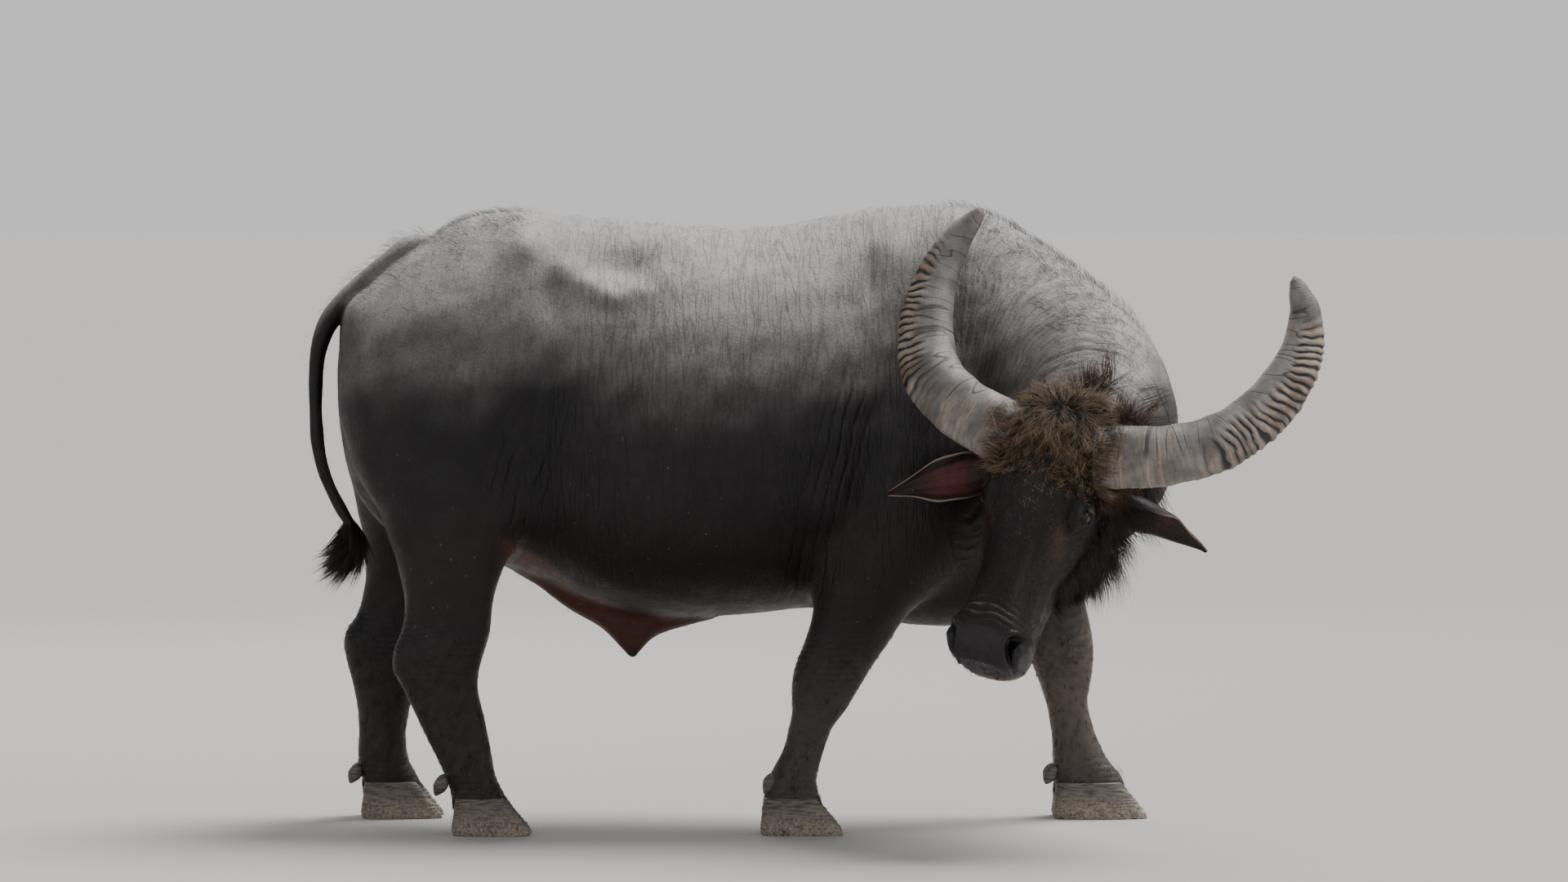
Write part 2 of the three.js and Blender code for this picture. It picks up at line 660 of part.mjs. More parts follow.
// One ear: arcs across a leaf, rolled into a tube at the root and opening into a cup towards the tip.
function earSolid({ root, reach, open }, margin) {
  const start = inHead(...root);
  const along = new THREE.Vector3(...reach).normalize();
  const face = new THREE.Vector3(...open).projectOnPlane(along).normalize();
  const side = new THREE.Vector3().crossVectors(along, face);
  const rings = EAR_LEAF.map((share, i) => {
    const s = i / (EAR_LEAF.length - 1);
    const bend = THREE.MathUtils.lerp(EAR_ROLL_ROOT, EAR_ROLL_TIP, Math.min(s * 1.7, 1));
    const radius = ((EAR_WIDTH / 2) * share) / Math.sin(Math.min(bend, Math.PI / 2));
    const half = (EAR_THICK * (1.3 - 0.7 * s)) / 2 + margin;
    const axis = start.clone().addScaledVector(along, EAR_LENGTH * s);
    axis.addScaledVector(face, radius - EAR_SINK).setZ(axis.z - EAR_DROOP * s * s);
    const arc = (r, j) => {
      const turn = (bend * (j - EAR_SPLITS)) / EAR_SPLITS;
      const back = face.clone().multiplyScalar(-r * Math.cos(turn));
      return axis.clone().add(back).addScaledVector(side, r * Math.sin(turn));
    };
    const outside = steps(2 * EAR_SPLITS + 1, (j) => arc(radius + half, j));
    const inside = steps(2 * EAR_SPLITS + 1, (j) => arc(Math.max(radius - half, 0.5), 2 * EAR_SPLITS - j));
    return [...outside, ...inside];
  });
  return solid(loft(rings));
}

// A round tube of changing width along rows of [x, y, z, width].
function tubeSolid(rows, count) {
  const rings = rows.map(([x, y, z, width], i) => {
    const along = course(rows, i);
    const up = new THREE.Vector3(-along.z, 0, along.x);
    return steps(count, (j) => {
      const turn = (2 * Math.PI * j) / count;
      const across = new THREE.Vector3(0, (width / 2) * Math.sin(turn), 0);
      return new THREE.Vector3(x, y, z).addScaledVector(up, (width / 2) * Math.cos(turn)).add(across);
    });
  });
  return solid(loft(rings));
}

// The skin flap and sheath: leaf-shaped sections along X, widest a little under their top.
function sheathSolid() {
  const rings = smoothRows(SHEATH, 2).map(([x, top, bottom, width]) => steps(RING_SHEATH, (j) => {
    const drop = top - bottom - SHEATH_TOP;
    const [y, z] = corner(j, RING_SHEATH, width, SHEATH_TOP, drop, 2.2, 1.7);
    return new THREE.Vector3(x, y, top - SHEATH_TOP + z);
  }));
  return solid(loft(rings));
}

function scrotumSolid() {
  const geometry = new THREE.SphereGeometry(1, 14, 10);
  geometry.scale(...SCROTUM_SIZE);
  geometry.translate(...SCROTUM_AT);
  return solid(geometry);
}

// One claw of a hoof on a flat sole, between its heel and toe lines.
function clawSolid(heel, toe, middleY, width, outward) {
  const rings = CLAW_LEVELS.map(([z, share, inset]) => {
    const back = heel - HEEL_SLOPE * (CORONET_HEIGHT - z) + inset;
    const front = toe + TOE_SLOPE * (CORONET_HEIGHT - z) - inset;
    const widest = back + (front - back) * CLAW_WIDEST;
    const half = (width / 2) * share;
    return steps(RING_CLAW, (j) => {
      const [across, along] = corner(j, RING_CLAW, half, front - widest, widest - back, 2.0, 3.0);
      const flat = outward * across < 0 ? CLAW_INSIDE : 1;
      return new THREE.Vector3(widest + along, across * flat, z);
    });
  });
  const geometry = loft(rings);
  geometry.translate(-heel, 0, 0);
  geometry.rotateZ(outward * THREE.MathUtils.degToRad(CLAW_SPREAD));
  geometry.translate(heel, middleY, 0);
  return solid(geometry);
}

function dewclawSolid(x, y, z) {
  const geometry = new THREE.SphereGeometry(DEWCLAW_WIDTH / 2, 8, 5);
  geometry.scale(1.15, 0.9, DEWCLAW_LENGTH / DEWCLAW_WIDTH);
  geometry.rotateY(THREE.MathUtils.degToRad(DEWCLAW_LEAN));
  geometry.translate(x, y, z);
  return solid(geometry);
}

const finish = (color, roughness) => new THREE.MeshStandardMaterial({ color, roughness, metalness: 0 });
const skin = finish(SKIN, 0.7);
const redSkin = finish(SKIN_RED, 0.7);
const hornGrey = finish(HORN_GREY, 0.6);
const hoofBlack = finish(HOOF_BLACK, 0.6);
const eyeBlack = finish(EYE_BLACK, 0.12);
const hairBrown = finish(HAIR_BROWN, 0.8);

const pieces = [];
const keep = (name, body, material) => pieces.push({ name, body: largest(body), material });
const sideName = (sign) => (sign > 0 ? "left" : "right");

// The body is made whole, and the collar then parts it into torso and neck.
const legs = LEGS.map((leg) => ({ ...leg, whole: legSolid(leg, 0), grown: legSolid(leg, GAP) }));
const core = trunkSolid(0).add(neckSolid(0));
const coreGrown = trunkSolid(GAP).add(neckSolid(GAP));
const flesh = join([core, ...legs.map((leg) => leg.whole.intersect(above(leg.top)))]);
const fleshGrown = join([coreGrown, ...legs.map((leg) => leg.grown.intersect(above(leg.top - GAP)))]);
const collar = new THREE.Vector3(...COLLAR_FACING).normalize();
const collarBack = new THREE.Vector3(...COLLAR_AT).addScaledVector(collar, -GAP);
keep("torso", flesh.subtract(beyond(collarBack, COLLAR_FACING)), skin);
keep("sheath", sheathSolid().subtract(fleshGrown), redSkin);
keep("scrotum", scrotumSolid().subtract(fleshGrown), skin);

// Horns, ears and eyes, each met by the head with a gap.
const horns = SIDES.map((sign) => ({ sign, body: hornSolid(sign, 0), grown: hornSolid(sign, GAP) }));
const hornsGrown = horns.map(({ grown }) => grown);
const cranium = craniumSolid(0);
const craniumGrown = craniumSolid(GAP);
const earsGrown = EARS.map((ear) => earSolid(ear, GAP));
for (const { sign, body } of horns) keep("horn_" + sideName(sign), body, hornGrey);
for (const ear of EARS) {
  keep("ear_" + sideName(ear.sign), cut(earSolid(ear, 0), [craniumGrown, ...hornsGrown]), skin);
}
for (const sign of SIDES) keep("eye_" + sideName(sign), eyeSolid(sign, 0), eyeBlack);

const neckWhole = flesh.intersect(beyond(COLLAR_AT, COLLAR_FACING));
keep("neck", cut(neckWhole, [craniumGrown, ...hornsGrown, ...earsGrown]), skin);

// Head: cranium and lids, with the locks cut clear of the neck and the ears.
const lids = SIDES.flatMap((sign) => [lidSolid(sign, 1), lidSolid(sign, -1)]);
const random = seeded(LOCK_SEED);
const locks = [...pollLocks(random), ...SIDES.flatMap((sign) => jawLocks(sign, random))];
const hairFree = cut(join(locks), [neckSolid(GAP), ...earsGrown]);
const holes = SIDES.flatMap((sign) => [eyeSolid(sign, GAP), nostrilSolid(sign)]);
keep("head", cut(join([cranium, ...lids, hairFree]), [...holes, mouthSolid(), ...hornsGrown]), skin);

// Tail lengths.
const tailRows = smoothRows(TAIL, 2);
const [baseCut, middleCut] = TAIL_CUTS.map((share) => tailRows[Math.round(share * (tailRows.length - 1))][2]);
const dock = tubeSolid(tailRows, RING_TAIL).subtract(fleshGrown);
const switchTop = SWITCH[1][2];
const stretch = (low, high) => dock.intersect(above(low + GAP / 2)).intersect(below(high - GAP / 2));
keep("tail_base", dock.intersect(above(baseCut + GAP / 2)), skin);
keep("tail_middle", stretch(middleCut, baseCut), skin);
keep("tail_end", stretch(switchTop, middleCut), skin);
const coreRows = smoothRows(SWITCH, 2).slice(0, Math.round(2 * (SWITCH.length - 1) * BRUSH_CORE) + 1);
const thinning = coreRows.map(([x, y, z, width], i) => [x, y, z, width * (1 - (0.75 * i) / coreRows.length)]);
const brushCore = tubeSolid(thinning, RING_TAIL);
const brush = join([brushCore, ...brushLocks(random)]).intersect(below(switchTop - GAP / 2));
keep("tail_switch", brush, hairBrown);

// Legs with their hooves and dewclaws.
for (const { name, sign, rows, top, joint, whole, grown } of legs) {
  const [, rear, front, outer, inner] = rows[rows.length - 1];
  const fetlock = rows[rows.length - 3];
  const middleY = (sign * (outer + inner)) / 2;
  const clawWidth = (outer - inner - CLAW_SPLIT) / 2;
  const coronet = (height, up) => beyond([(rear + front) / 2, 0, height], [-CORONET_FALL * up, 0, up]);
  const upper = whole.intersect(below(top - GAP)).intersect(above(joint + GAP / 2));
  keep(name + "_upper", upper.subtract(coreGrown), skin);
  keep(name + "_lower", whole.intersect(below(joint - GAP / 2)).intersect(coronet(CORONET_HEIGHT, 1)), skin);
  for (const outward of SIDES) {
    const side = outward * sign > 0 ? "outer" : "inner";
    const clawY = middleY + (outward * (clawWidth + CLAW_SPLIT)) / 2;
    const claw = clawSolid(rear + CLAW_INSET, front - CLAW_INSET, clawY, clawWidth, outward);
    const dewclawY = middleY + outward * DEWCLAW_APART;
    const dewclaw = dewclawSolid(fetlock[1] - 2, dewclawY, fetlock[0] - DEWCLAW_DROP);
    keep(name + "_hoof_" + side, claw.intersect(coronet(CORONET_HEIGHT - GAP, -1)), hoofBlack);
    keep(name + "_dewclaw_" + side, dewclaw.subtract(grown), hoofBlack);
  }
}

// The whole is moved so that the origin is the middle of its box, at floor level.
const box = pieces.reduce((all, { body }) => {
  const { min, max } = body.boundingBox();
  return all.union(new THREE.Box3(new THREE.Vector3(...min), new THREE.Vector3(...max)));
}, new THREE.Box3());
const middle = box.getCenter(new THREE.Vector3());

const buffalo = new THREE.Group();
const animal = new THREE.Group();
animal.position.set(-middle.x, -middle.y, -box.min.z);
buffalo.add(animal);
for (const { name, body, material } of pieces) {
  const { vertProperties, triVerts } = body.getMesh();
  const geometry = new THREE.BufferGeometry();
  geometry.setAttribute("position", new THREE.BufferAttribute(vertProperties, 3));
  geometry.setIndex(new THREE.BufferAttribute(triVerts, 1));
  geometry.computeVertexNormals();
  const mesh = new THREE.Mesh(geometry, material);
  mesh.name = name;
  animal.add(mesh);
}

export default buffalo;
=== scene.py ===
"""A still, life-size water buffalo bull of the swamp type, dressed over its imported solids.

All shapes are worked out in the tables' own frame, in metres: X runs from tail to chest, Z is the
height above the floor, and make_piece moves them into the part's frame.
"""
import json
import math
from functools import partial

import bpy
import numpy as np
from bpy.props import FloatProperty, FloatVectorProperty, PointerProperty
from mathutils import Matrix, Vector

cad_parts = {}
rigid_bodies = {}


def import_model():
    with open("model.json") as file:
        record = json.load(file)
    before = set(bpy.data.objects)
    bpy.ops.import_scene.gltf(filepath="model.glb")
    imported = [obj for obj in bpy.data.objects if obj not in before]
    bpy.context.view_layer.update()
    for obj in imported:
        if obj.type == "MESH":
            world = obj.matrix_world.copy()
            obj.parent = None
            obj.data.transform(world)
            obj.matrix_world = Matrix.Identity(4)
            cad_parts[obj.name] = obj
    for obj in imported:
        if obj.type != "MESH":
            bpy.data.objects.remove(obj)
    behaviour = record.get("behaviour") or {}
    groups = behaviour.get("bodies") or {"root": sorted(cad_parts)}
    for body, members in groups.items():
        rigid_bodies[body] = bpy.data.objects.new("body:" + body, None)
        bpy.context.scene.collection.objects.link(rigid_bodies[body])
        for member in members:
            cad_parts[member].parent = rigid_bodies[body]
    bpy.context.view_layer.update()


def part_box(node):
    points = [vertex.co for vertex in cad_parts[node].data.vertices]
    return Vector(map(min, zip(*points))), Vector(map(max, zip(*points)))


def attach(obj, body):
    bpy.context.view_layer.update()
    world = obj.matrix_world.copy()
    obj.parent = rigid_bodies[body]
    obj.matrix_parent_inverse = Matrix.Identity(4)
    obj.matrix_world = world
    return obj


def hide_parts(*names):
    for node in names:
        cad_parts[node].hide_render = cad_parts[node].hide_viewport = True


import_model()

bl_info = {
    "name": "Water Buffalo",
    "version": (1, 0, 0),
    "blender": (4, 5, 0),
    "location": "View3D > Sidebar > Buffalo",
    "description": "Builds the skin, horns, hooves, eyes and coat of a standing water buffalo bull",
    "category": "Object",
}

SIDES = {-1: "right", 1: "left"}  # the side of the animal that each sign of Y means
MM = 0.001  # a millimetre in metres

# Trunk stations: x, top, widest height, bottom, half width, roundness above, roundness below.
# A roundness of 2 is an ellipse, less is a roof or keel, more is a box.
TRUNK = np.array([
    [-0.948, 1.060, 0.960, 0.860, 0.060, 2, 2],
    [-0.925, 1.120, 0.960, 0.740, 0.165, 2, 2],
    [-0.860, 1.180, 0.960, 0.640, 0.215, 2, 2],
    [-0.770, 1.248, 0.960, 0.580, 0.240, 1.9, 2.1],
    [-0.690, 1.292, 0.960, 0.556, 0.256, 1.9, 2.2],
    [-0.600, 1.313, 0.940, 0.556, 0.268, 1.9, 2.2],
    [-0.500, 1.309, 0.900, 0.520, 0.295, 1.9, 2.1],
    [-0.400, 1.301, 0.860, 0.470, 0.325, 1.9, 2.1],
    [-0.280, 1.291, 0.830, 0.443, 0.350, 1.95, 2.1],
    [-0.160, 1.282, 0.820, 0.444, 0.358, 2, 2.1],
    [-0.050, 1.279, 0.820, 0.452, 0.348, 2, 2.1],
    [0.060, 1.295, 0.830, 0.462, 0.320, 1.95, 2],
    [0.160, 1.319, 0.840, 0.445, 0.290, 1.8, 2],
    [0.260, 1.330, 0.850, 0.428, 0.268, 1.75, 2],
    [0.360, 1.322, 0.850, 0.424, 0.250, 1.75, 2],
    [0.450, 1.240, 0.850, 0.440, 0.220, 1.9, 2],
    [0.530, 1.110, 0.830, 0.490, 0.180, 2, 2],
    [0.590, 0.990, 0.810, 0.590, 0.110, 2, 2],
])

# Neck stations: centre x, y, z, rise to the crest, drop to the throat, half width.
NECK = np.array([
    [0.240, 0.000, 0.900, 0.385, 0.400, 0.200],
    [0.330, 0.000, 0.895, 0.432, 0.440, 0.226],
    [0.420, -0.008, 0.885, 0.430, 0.440, 0.228],
    [0.500, -0.042, 0.878, 0.388, 0.398, 0.222],
    [0.568, -0.108, 0.868, 0.338, 0.338, 0.213],
    [0.618, -0.195, 0.858, 0.292, 0.280, 0.204],
    [0.642, -0.285, 0.848, 0.245, 0.232, 0.188],
    [0.642, -0.370, 0.836, 0.190, 0.196, 0.158],
    [0.622, -0.445, 0.815, 0.138, 0.150, 0.118],
    [0.600, -0.485, 0.800, 0.090, 0.100, 0.080],
])
NECK_ROUNDNESS = 2.1

# The head has its own frame: a runs to the animal's left, b up the face to the poll, c out of the forehead.
HEAD_AT = np.array([0.566, -0.520, 0.835])
HEAD_PITCH = 25  # degrees that the nose swings forward of plumb, towards -Y
HEAD_YAW = 24  # degrees that the face turns from -Y towards -X
HEAD_ROLL = 12.5  # degrees that the chin leans towards -X

# Head stations: b, half width, forehead c, jaw c, widest c, roundness above, roundness below.
HEAD = np.array([
    [0.104, 0.040, 0.000, -0.070, -0.035, 2, 2],
    [0.088, 0.084, 0.038, -0.110, -0.035, 2.1, 2],
    [0.050, 0.112, 0.058, -0.150, -0.035, 2.2, 2.1],
    [0.000, 0.118, 0.062, -0.182, -0.035, 2.3, 2.1],
    [-0.060, 0.118, 0.058, -0.212, -0.040, 2.3, 2.2],
    [-0.110, 0.117, 0.053, -0.240, -0.048, 2.3, 2.3],
    [-0.160, 0.113, 0.050, -0.249, -0.060, 2.3, 2.4],
    [-0.210, 0.102, 0.047, -0.238, -0.070, 2.2, 2.4],
    [-0.270, 0.084, 0.043, -0.200, -0.070, 2.2, 2.4],
    [-0.330, 0.077, 0.038, -0.174, -0.070, 2.3, 2.5],
    [-0.390, 0.079, 0.033, -0.156, -0.066, 2.6, 2.8],
    [-0.438, 0.085, 0.028, -0.146, -0.062, 2.9, 3.0],
    [-0.472, 0.078, 0.008, -0.138, -0.064, 2.8, 2.8],
    [-0.494, 0.052, -0.026, -0.120, -0.072, 2.5, 2.5],
])
ORBIT_AT = np.array([0.092, -0.143, -0.006])
ORBIT_SIZE = np.array([0.022, 0.046, 0.037])
EYE_AT = np.array([0.099, -0.144, -0.004])
EYE_RADIUS = 0.021
EYE_TURN = 30  # degrees that each eye faces forward of straight sideways
NOSTRIL_AT = np.array([0.063, -0.455, -0.012])
NOSTRIL_SIZE = np.array([0.0085, 0.028])  # half its width and half its length
NOSTRIL_SLANT = 28  # degrees that the lower end lies nearer to the middle
MOUTH_C = -0.103
MUZZLE_END_B = -0.494

# Horn centre line in the head's frame, then its broad width and its thickness at the same stations.
HORN = np.array([
    [0.092, -0.014, 0.006, 0.136, 0.092],
    [0.150, 0.000, 0.006, 0.136, 0.090],
    [0.238, 0.028, 0.004, 0.131, 0.086],
    [0.323, 0.084, -0.004, 0.125, 0.082],
    [0.379, 0.172, -0.018, 0.118, 0.076],
    [0.405, 0.258, -0.022, 0.106, 0.068],
    [0.410, 0.335, -0.018, 0.088, 0.058],
    [0.394, 0.406, -0.004, 0.066, 0.046],
    [0.370, 0.444, 0.012, 0.045, 0.034],
    [0.356, 0.464, 0.022, 0.024, 0.020],
])
HORN_EDGE = 0.22  # how much thinner the outer edge of the section is than the middle
HORN_POINT = 0.010  # from the last station to the point

# Each ear is a cupped leaf: its root in the head's frame, and its reach and open side in the tables' frame.
EAR_LENGTH = 0.258
EAR_WIDTH = 0.098
EAR_THICK = 0.007
EAR_DROOP = 0.046
EAR_SINK = 0.010
EAR_ROLL_ROOT = 2.2  # half the arc across the leaf, in radians
EAR_ROLL_TIP = 0.85
EAR_LEAF = np.array([[0.38], [0.6], [0.84], [1], [0.98], [0.84], [0.6], [0.32], [0.08]])
EARS = {
    -1: {"root": (-0.104, -0.062, -0.070), "reach": (-0.98, 0.15, 0.02), "open": (0.05, -0.95, 0.1)},
    1: {"root": (0.102, -0.046, -0.072), "reach": (0.8, 0.42, -0.36), "open": (-0.1, -0.5, -0.8)},
}

# Leg stations: height, rear x, front x, outer y, inner y.
FORELEG_RIGHT = np.array([
    [1.190, 0.150, 0.280, 0.130, 0.000],
    [1.080, 0.110, 0.370, 0.225, 0.000],
    [0.960, 0.080, 0.440, 0.276, 0.000],
    [0.830, 0.060, 0.490, 0.296, 0.000],
    [0.700, 0.052, 0.500, 0.300, 0.000],
    [0.600, 0.052, 0.440, 0.292, 0.010],
    [0.520, 0.058, 0.335, 0.280, 0.050],
    [0.460, 0.056, 0.262, 0.266, 0.086],
    [0.400, 0.038, 0.221, 0.252, 0.108],
    [0.355, 0.020, 0.190, 0.243, 0.116],
    [0.305, 0.012, 0.160, 0.238, 0.120],
    [0.262, 0.014, 0.134, 0.232, 0.130],
    [0.220, 0.006, 0.103, 0.226, 0.140],
    [0.178, -0.005, 0.088, 0.224, 0.143],
    [0.135, -0.028, 0.076, 0.232, 0.135],
    [0.098, -0.044, 0.072, 0.234, 0.132],
    [0.050, -0.048, 0.084, 0.236, 0.130],
])
FORELEG_LEFT = np.array([
    [1.190, 0.170, 0.300, 0.130, 0.000],
    [1.080, 0.150, 0.400, 0.225, 0.000],
    [0.960, 0.160, 0.480, 0.276, 0.000],
    [0.830, 0.190, 0.550, 0.292, 0.000],
    [0.700, 0.240, 0.600, 0.290, 0.000],
    [0.600, 0.310, 0.630, 0.276, 0.020],
    [0.520, 0.385, 0.645, 0.262, 0.066],
    [0.460, 0.440, 0.656, 0.250, 0.092],
    [0.400, 0.492, 0.668, 0.242, 0.106],
    [0.355, 0.522, 0.673, 0.236, 0.112],
    [0.305, 0.544, 0.668, 0.230, 0.116],
    [0.256, 0.562, 0.660, 0.224, 0.126],
    [0.210, 0.572, 0.668, 0.222, 0.130],
    [0.165, 0.577, 0.684, 0.224, 0.128],
    [0.124, 0.578, 0.704, 0.230, 0.122],
    [0.090, 0.580, 0.726, 0.232, 0.120],
    [0.050, 0.582, 0.745, 0.233, 0.119],
])
HINDLEG_RIGHT = np.array([
    [1.190, -0.740, -0.540, 0.170, 0.000],
    [1.090, -0.880, -0.500, 0.246, 0.000],
    [0.960, -0.936, -0.480, 0.284, 0.000],
    [0.860, -0.936, -0.470, 0.296, 0.000],
    [0.760, -0.905, -0.478, 0.290, 0.010],
    [0.674, -0.858, -0.520, 0.278, 0.044],
    [0.568, -0.820, -0.582, 0.262, 0.092],
    [0.500, -0.803, -0.606, 0.255, 0.116],
    [0.430, -0.806, -0.614, 0.249, 0.130],
    [0.386, -0.822, -0.626, 0.246, 0.136],
    [0.348, -0.826, -0.637, 0.243, 0.140],
    [0.305, -0.804, -0.640, 0.240, 0.146],
    [0.249, -0.777, -0.627, 0.237, 0.152],
    [0.196, -0.752, -0.616, 0.236, 0.156],
    [0.134, -0.720, -0.606, 0.244, 0.148],
    [0.092, -0.704, -0.592, 0.246, 0.146],
    [0.050, -0.696, -0.572, 0.247, 0.145],
])
HINDLEG_LEFT = np.array([
    [1.190, -0.750, -0.560, 0.170, 0.000],
    [1.090, -0.890, -0.520, 0.246, 0.000],
    [0.960, -0.945, -0.500, 0.284, 0.000],
    [0.860, -0.948, -0.500, 0.294, 0.000],
    [0.760, -0.944, -0.520, 0.288, 0.010],
    [0.674, -0.928, -0.570, 0.276, 0.044],
    [0.568, -0.908, -0.640, 0.258, 0.088],
    [0.500, -0.912, -0.690, 0.248, 0.106],
    [0.440, -0.926, -0.730, 0.242, 0.114],
    [0.390, -0.952, -0.756, 0.238, 0.120],
    [0.345, -0.950, -0.776, 0.236, 0.126],
    [0.285, -0.936, -0.796, 0.232, 0.134],
    [0.230, -0.926, -0.808, 0.230, 0.140],
    [0.177, -0.924, -0.816, 0.230, 0.142],
    [0.125, -0.926, -0.810, 0.236, 0.134],
    [0.090, -0.918, -0.796, 0.238, 0.132],
    [0.050, -0.912, -0.778, 0.239, 0.131],
])
LEG_ROUNDNESS = 2.3
LEG_ROUND_ABOVE = 0.620  # over this height shoulder and thigh are plain ovals
LEGS = {
    "foreleg_right": (-1, FORELEG_RIGHT),
    "foreleg_left": (1, FORELEG_LEFT),
    "hindleg_right": (-1, HINDLEG_RIGHT),
    "hindleg_left": (1, HINDLEG_LEFT),
}

# A hoof is two claws under the pastern. The coronet, where skin meets horn, falls from toe to heel.
CORONET_HEIGHT = 0.062
CORONET_FALL = 0.2
TOE_SLOPE = 0.8
HEEL_SLOPE = 0.12
CLAW_SPREAD = 3  # degrees that each claw turns out
CLAW_SPLIT = 0.008
CLAW_INSET = 0.004
CLAW_WIDEST = 0.4
CLAW_INSIDE = 0.86
CLAW_LEVELS = np.array([  # height, share of the width, inset of heel and toe
    [0.000, 1.04, 0.004],
    [0.012, 1.10, 0.000],
    [0.040, 1.06, 0.000],
    [0.092, 1.00, 0.000],
])
DEWCLAW_LENGTH = 0.046
DEWCLAW_WIDTH = 0.026
DEWCLAW_LEAN = 28  # degrees
DEWCLAW_APART = 0.024
DEWCLAW_DROP = 0.030

# Tail centre line: x, y, z, width, and the sweep of its brush.
TAIL = np.array([
    [-0.735, 0.000, 1.232, 0.062],
    [-0.785, 0.000, 1.232, 0.060],
    [-0.835, 0.000, 1.200, 0.056],
    [-0.905, 0.000, 1.146, 0.050],
    [-0.962, 0.000, 1.088, 0.044],
    [-0.986, 0.000, 1.036, 0.038],
    [-0.997, 0.000, 0.965, 0.033],
    [-0.998, 0.000, 0.878, 0.029],
    [-0.990, 0.000, 0.790, 0.027],
    [-0.962, 0.000, 0.708, 0.025],
    [-0.912, 0.000, 0.622, 0.024],
])
SWITCH = np.array([
    [-0.938, 0.000, 0.676, 0.025],
    [-0.926, 0.000, 0.652, 0.034],
    [-0.912, 0.000, 0.622, 0.046],
    [-0.912, 0.000, 0.592, 0.052],
    [-0.932, 0.000, 0.570, 0.044],
    [-0.970, 0.000, 0.558, 0.028],
    [-1.010, 0.000, 0.552, 0.006],
])

# The flap of skin under the belly that ends in the sheath: x, top, bottom, half width.
SHEATH = np.array([
    [-0.600, 0.600, 0.552, 0.014],
    [-0.530, 0.560, 0.511, 0.026],
    [-0.456, 0.520, 0.459, 0.034],
    [-0.391, 0.490, 0.422, 0.038],
    [-0.345, 0.480, 0.374, 0.034],
    [-0.322, 0.476, 0.352, 0.026],
    [-0.300, 0.474, 0.378, 0.032],
    [-0.270, 0.474, 0.405, 0.032],
    [-0.200, 0.476, 0.428, 0.022],
    [-0.150, 0.478, 0.440, 0.012],
])
SHEATH_TOP = 0.040  # from its top to its widest line
SCROTUM_AT = np.array([-0.700, 0, 0.545])
SCROTUM_SIZE = np.array([0.058, 0.052, 0.088])

# Where the tables' frame lies in the part's frame, read from an eye, whose box is centred on it.
EYE_LOW, EYE_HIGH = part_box("eye_left")


def turn_about(axis, degrees):
    """Rotation matrix about axis 0, 1 or 2."""
    first, second = (axis + 1) % 3, (axis + 2) % 3
    made = np.eye(3)
    angle = math.radians(degrees)
    made[first, first] = made[second, second] = math.cos(angle)
    made[first, second] = -math.sin(angle)
    made[second, first] = math.sin(angle)
    return made


HEAD_AXES = np.array([[1, 0, 0], [0, 0, -1], [0, 1, 0]])
HEAD_TURN = turn_about(1, HEAD_ROLL) @ turn_about(2, -HEAD_YAW) @ turn_about(0, -HEAD_PITCH) @ HEAD_AXES


def in_head(points):
    """From the head's frame to the tables' frame."""
    return HEAD_AT + np.asarray(points) @ HEAD_TURN.T


def to_head(points):
    """From the tables' frame to the head's frame."""
    return (points - HEAD_AT) @ HEAD_TURN


SHIFT = np.array((EYE_LOW + EYE_HIGH) / 2) - in_head(EYE_AT)


def unit(vectors):
    """Vectors scaled to length 1."""
    return vectors / np.maximum(np.linalg.norm(vectors, axis=-1, keepdims=True), 1e-9)


def mirrored(point, sign):
    """A point of the head's frame on the chosen side."""
    return np.asarray(point) * np.array([sign, 1, 1])


def smooth_rows(rows, steps):
    """Rows with more rows between them on a smooth curve through all (Catmull-Rom)."""
    before = np.vstack([rows[:1], rows[:-1]])
    after = np.vstack([rows[1:], rows[-1:]])
    slope = (after - before) / 2
    t = (np.arange(steps) / steps)[None, :, None]
    p, q = rows[:-1, None], rows[1:, None]
    m, n = slope[:-1, None], slope[1:, None]
    made = ((2 * t**3 - 3 * t**2 + 1) * p + (t**3 - 2 * t**2 + t) * m
            + (3 * t**2 - 2 * t**3) * q + (t**3 - t**2) * n)
    return np.vstack([made.reshape(-1, rows.shape[1]), rows[-1:]])


def ease(value, low, high):
    """0 below low, 1 above high, and an S-curve between."""
    t = np.clip((value - low) / (high - low), 0, 1)
    return t * t * (3 - 2 * t)


def face_share(points):
    """1 on the head, 0 on the neck and body, and an eased change between them."""
    return ease(-points[:, 1], 0.42, 0.50)


def bell(points, centre, size):
    """1 at the centre, falling off as a bell over size, one number or one for each axis."""
    return np.exp(-(((points - np.asarray(centre)) / size) ** 2).sum(axis=-1))


def waves(points, size, seed, count=7):
    """Smooth noise from about -1 to 1: sine waves of about the given length in random directions, added."""
    rng = np.random.default_rng(seed)
    ways = unit(rng.normal(size=(count, 3))) * (2 * math.pi / size) * rng.uniform(0.6, 1.5, (count, 1))
    phases = rng.uniform(0, 2 * math.pi, count)
    return np.sin(points @ ways.T + phases).sum(axis=-1) / math.sqrt(count)


def creases(place, spacing, sharpness=0.35):
    """1 in narrow creases one spacing apart along place, and 0 between them."""
    return np.exp(-((np.sin(math.pi * place / spacing) / sharpness) ** 2))


def lean(value, roundness):
    """The power of a cosine or sine that makes an ellipse into a fuller or leaner curve."""
    return np.sign(value) * np.abs(value) ** (2 / roundness)


def outline(turn, width, rise, drop, above, below):
    """Sideways and upwards reach of a section at a turn from its widest line."""
    up = np.sin(turn)
    roundness = np.where(up > 0, above, below)
    return width * lean(np.cos(turn), roundness), np.where(up > 0, rise, drop) * lean(up, roundness)


def turns(count):
    """Angles round a section."""
    return np.arange(count) * (2 * math.pi / count)


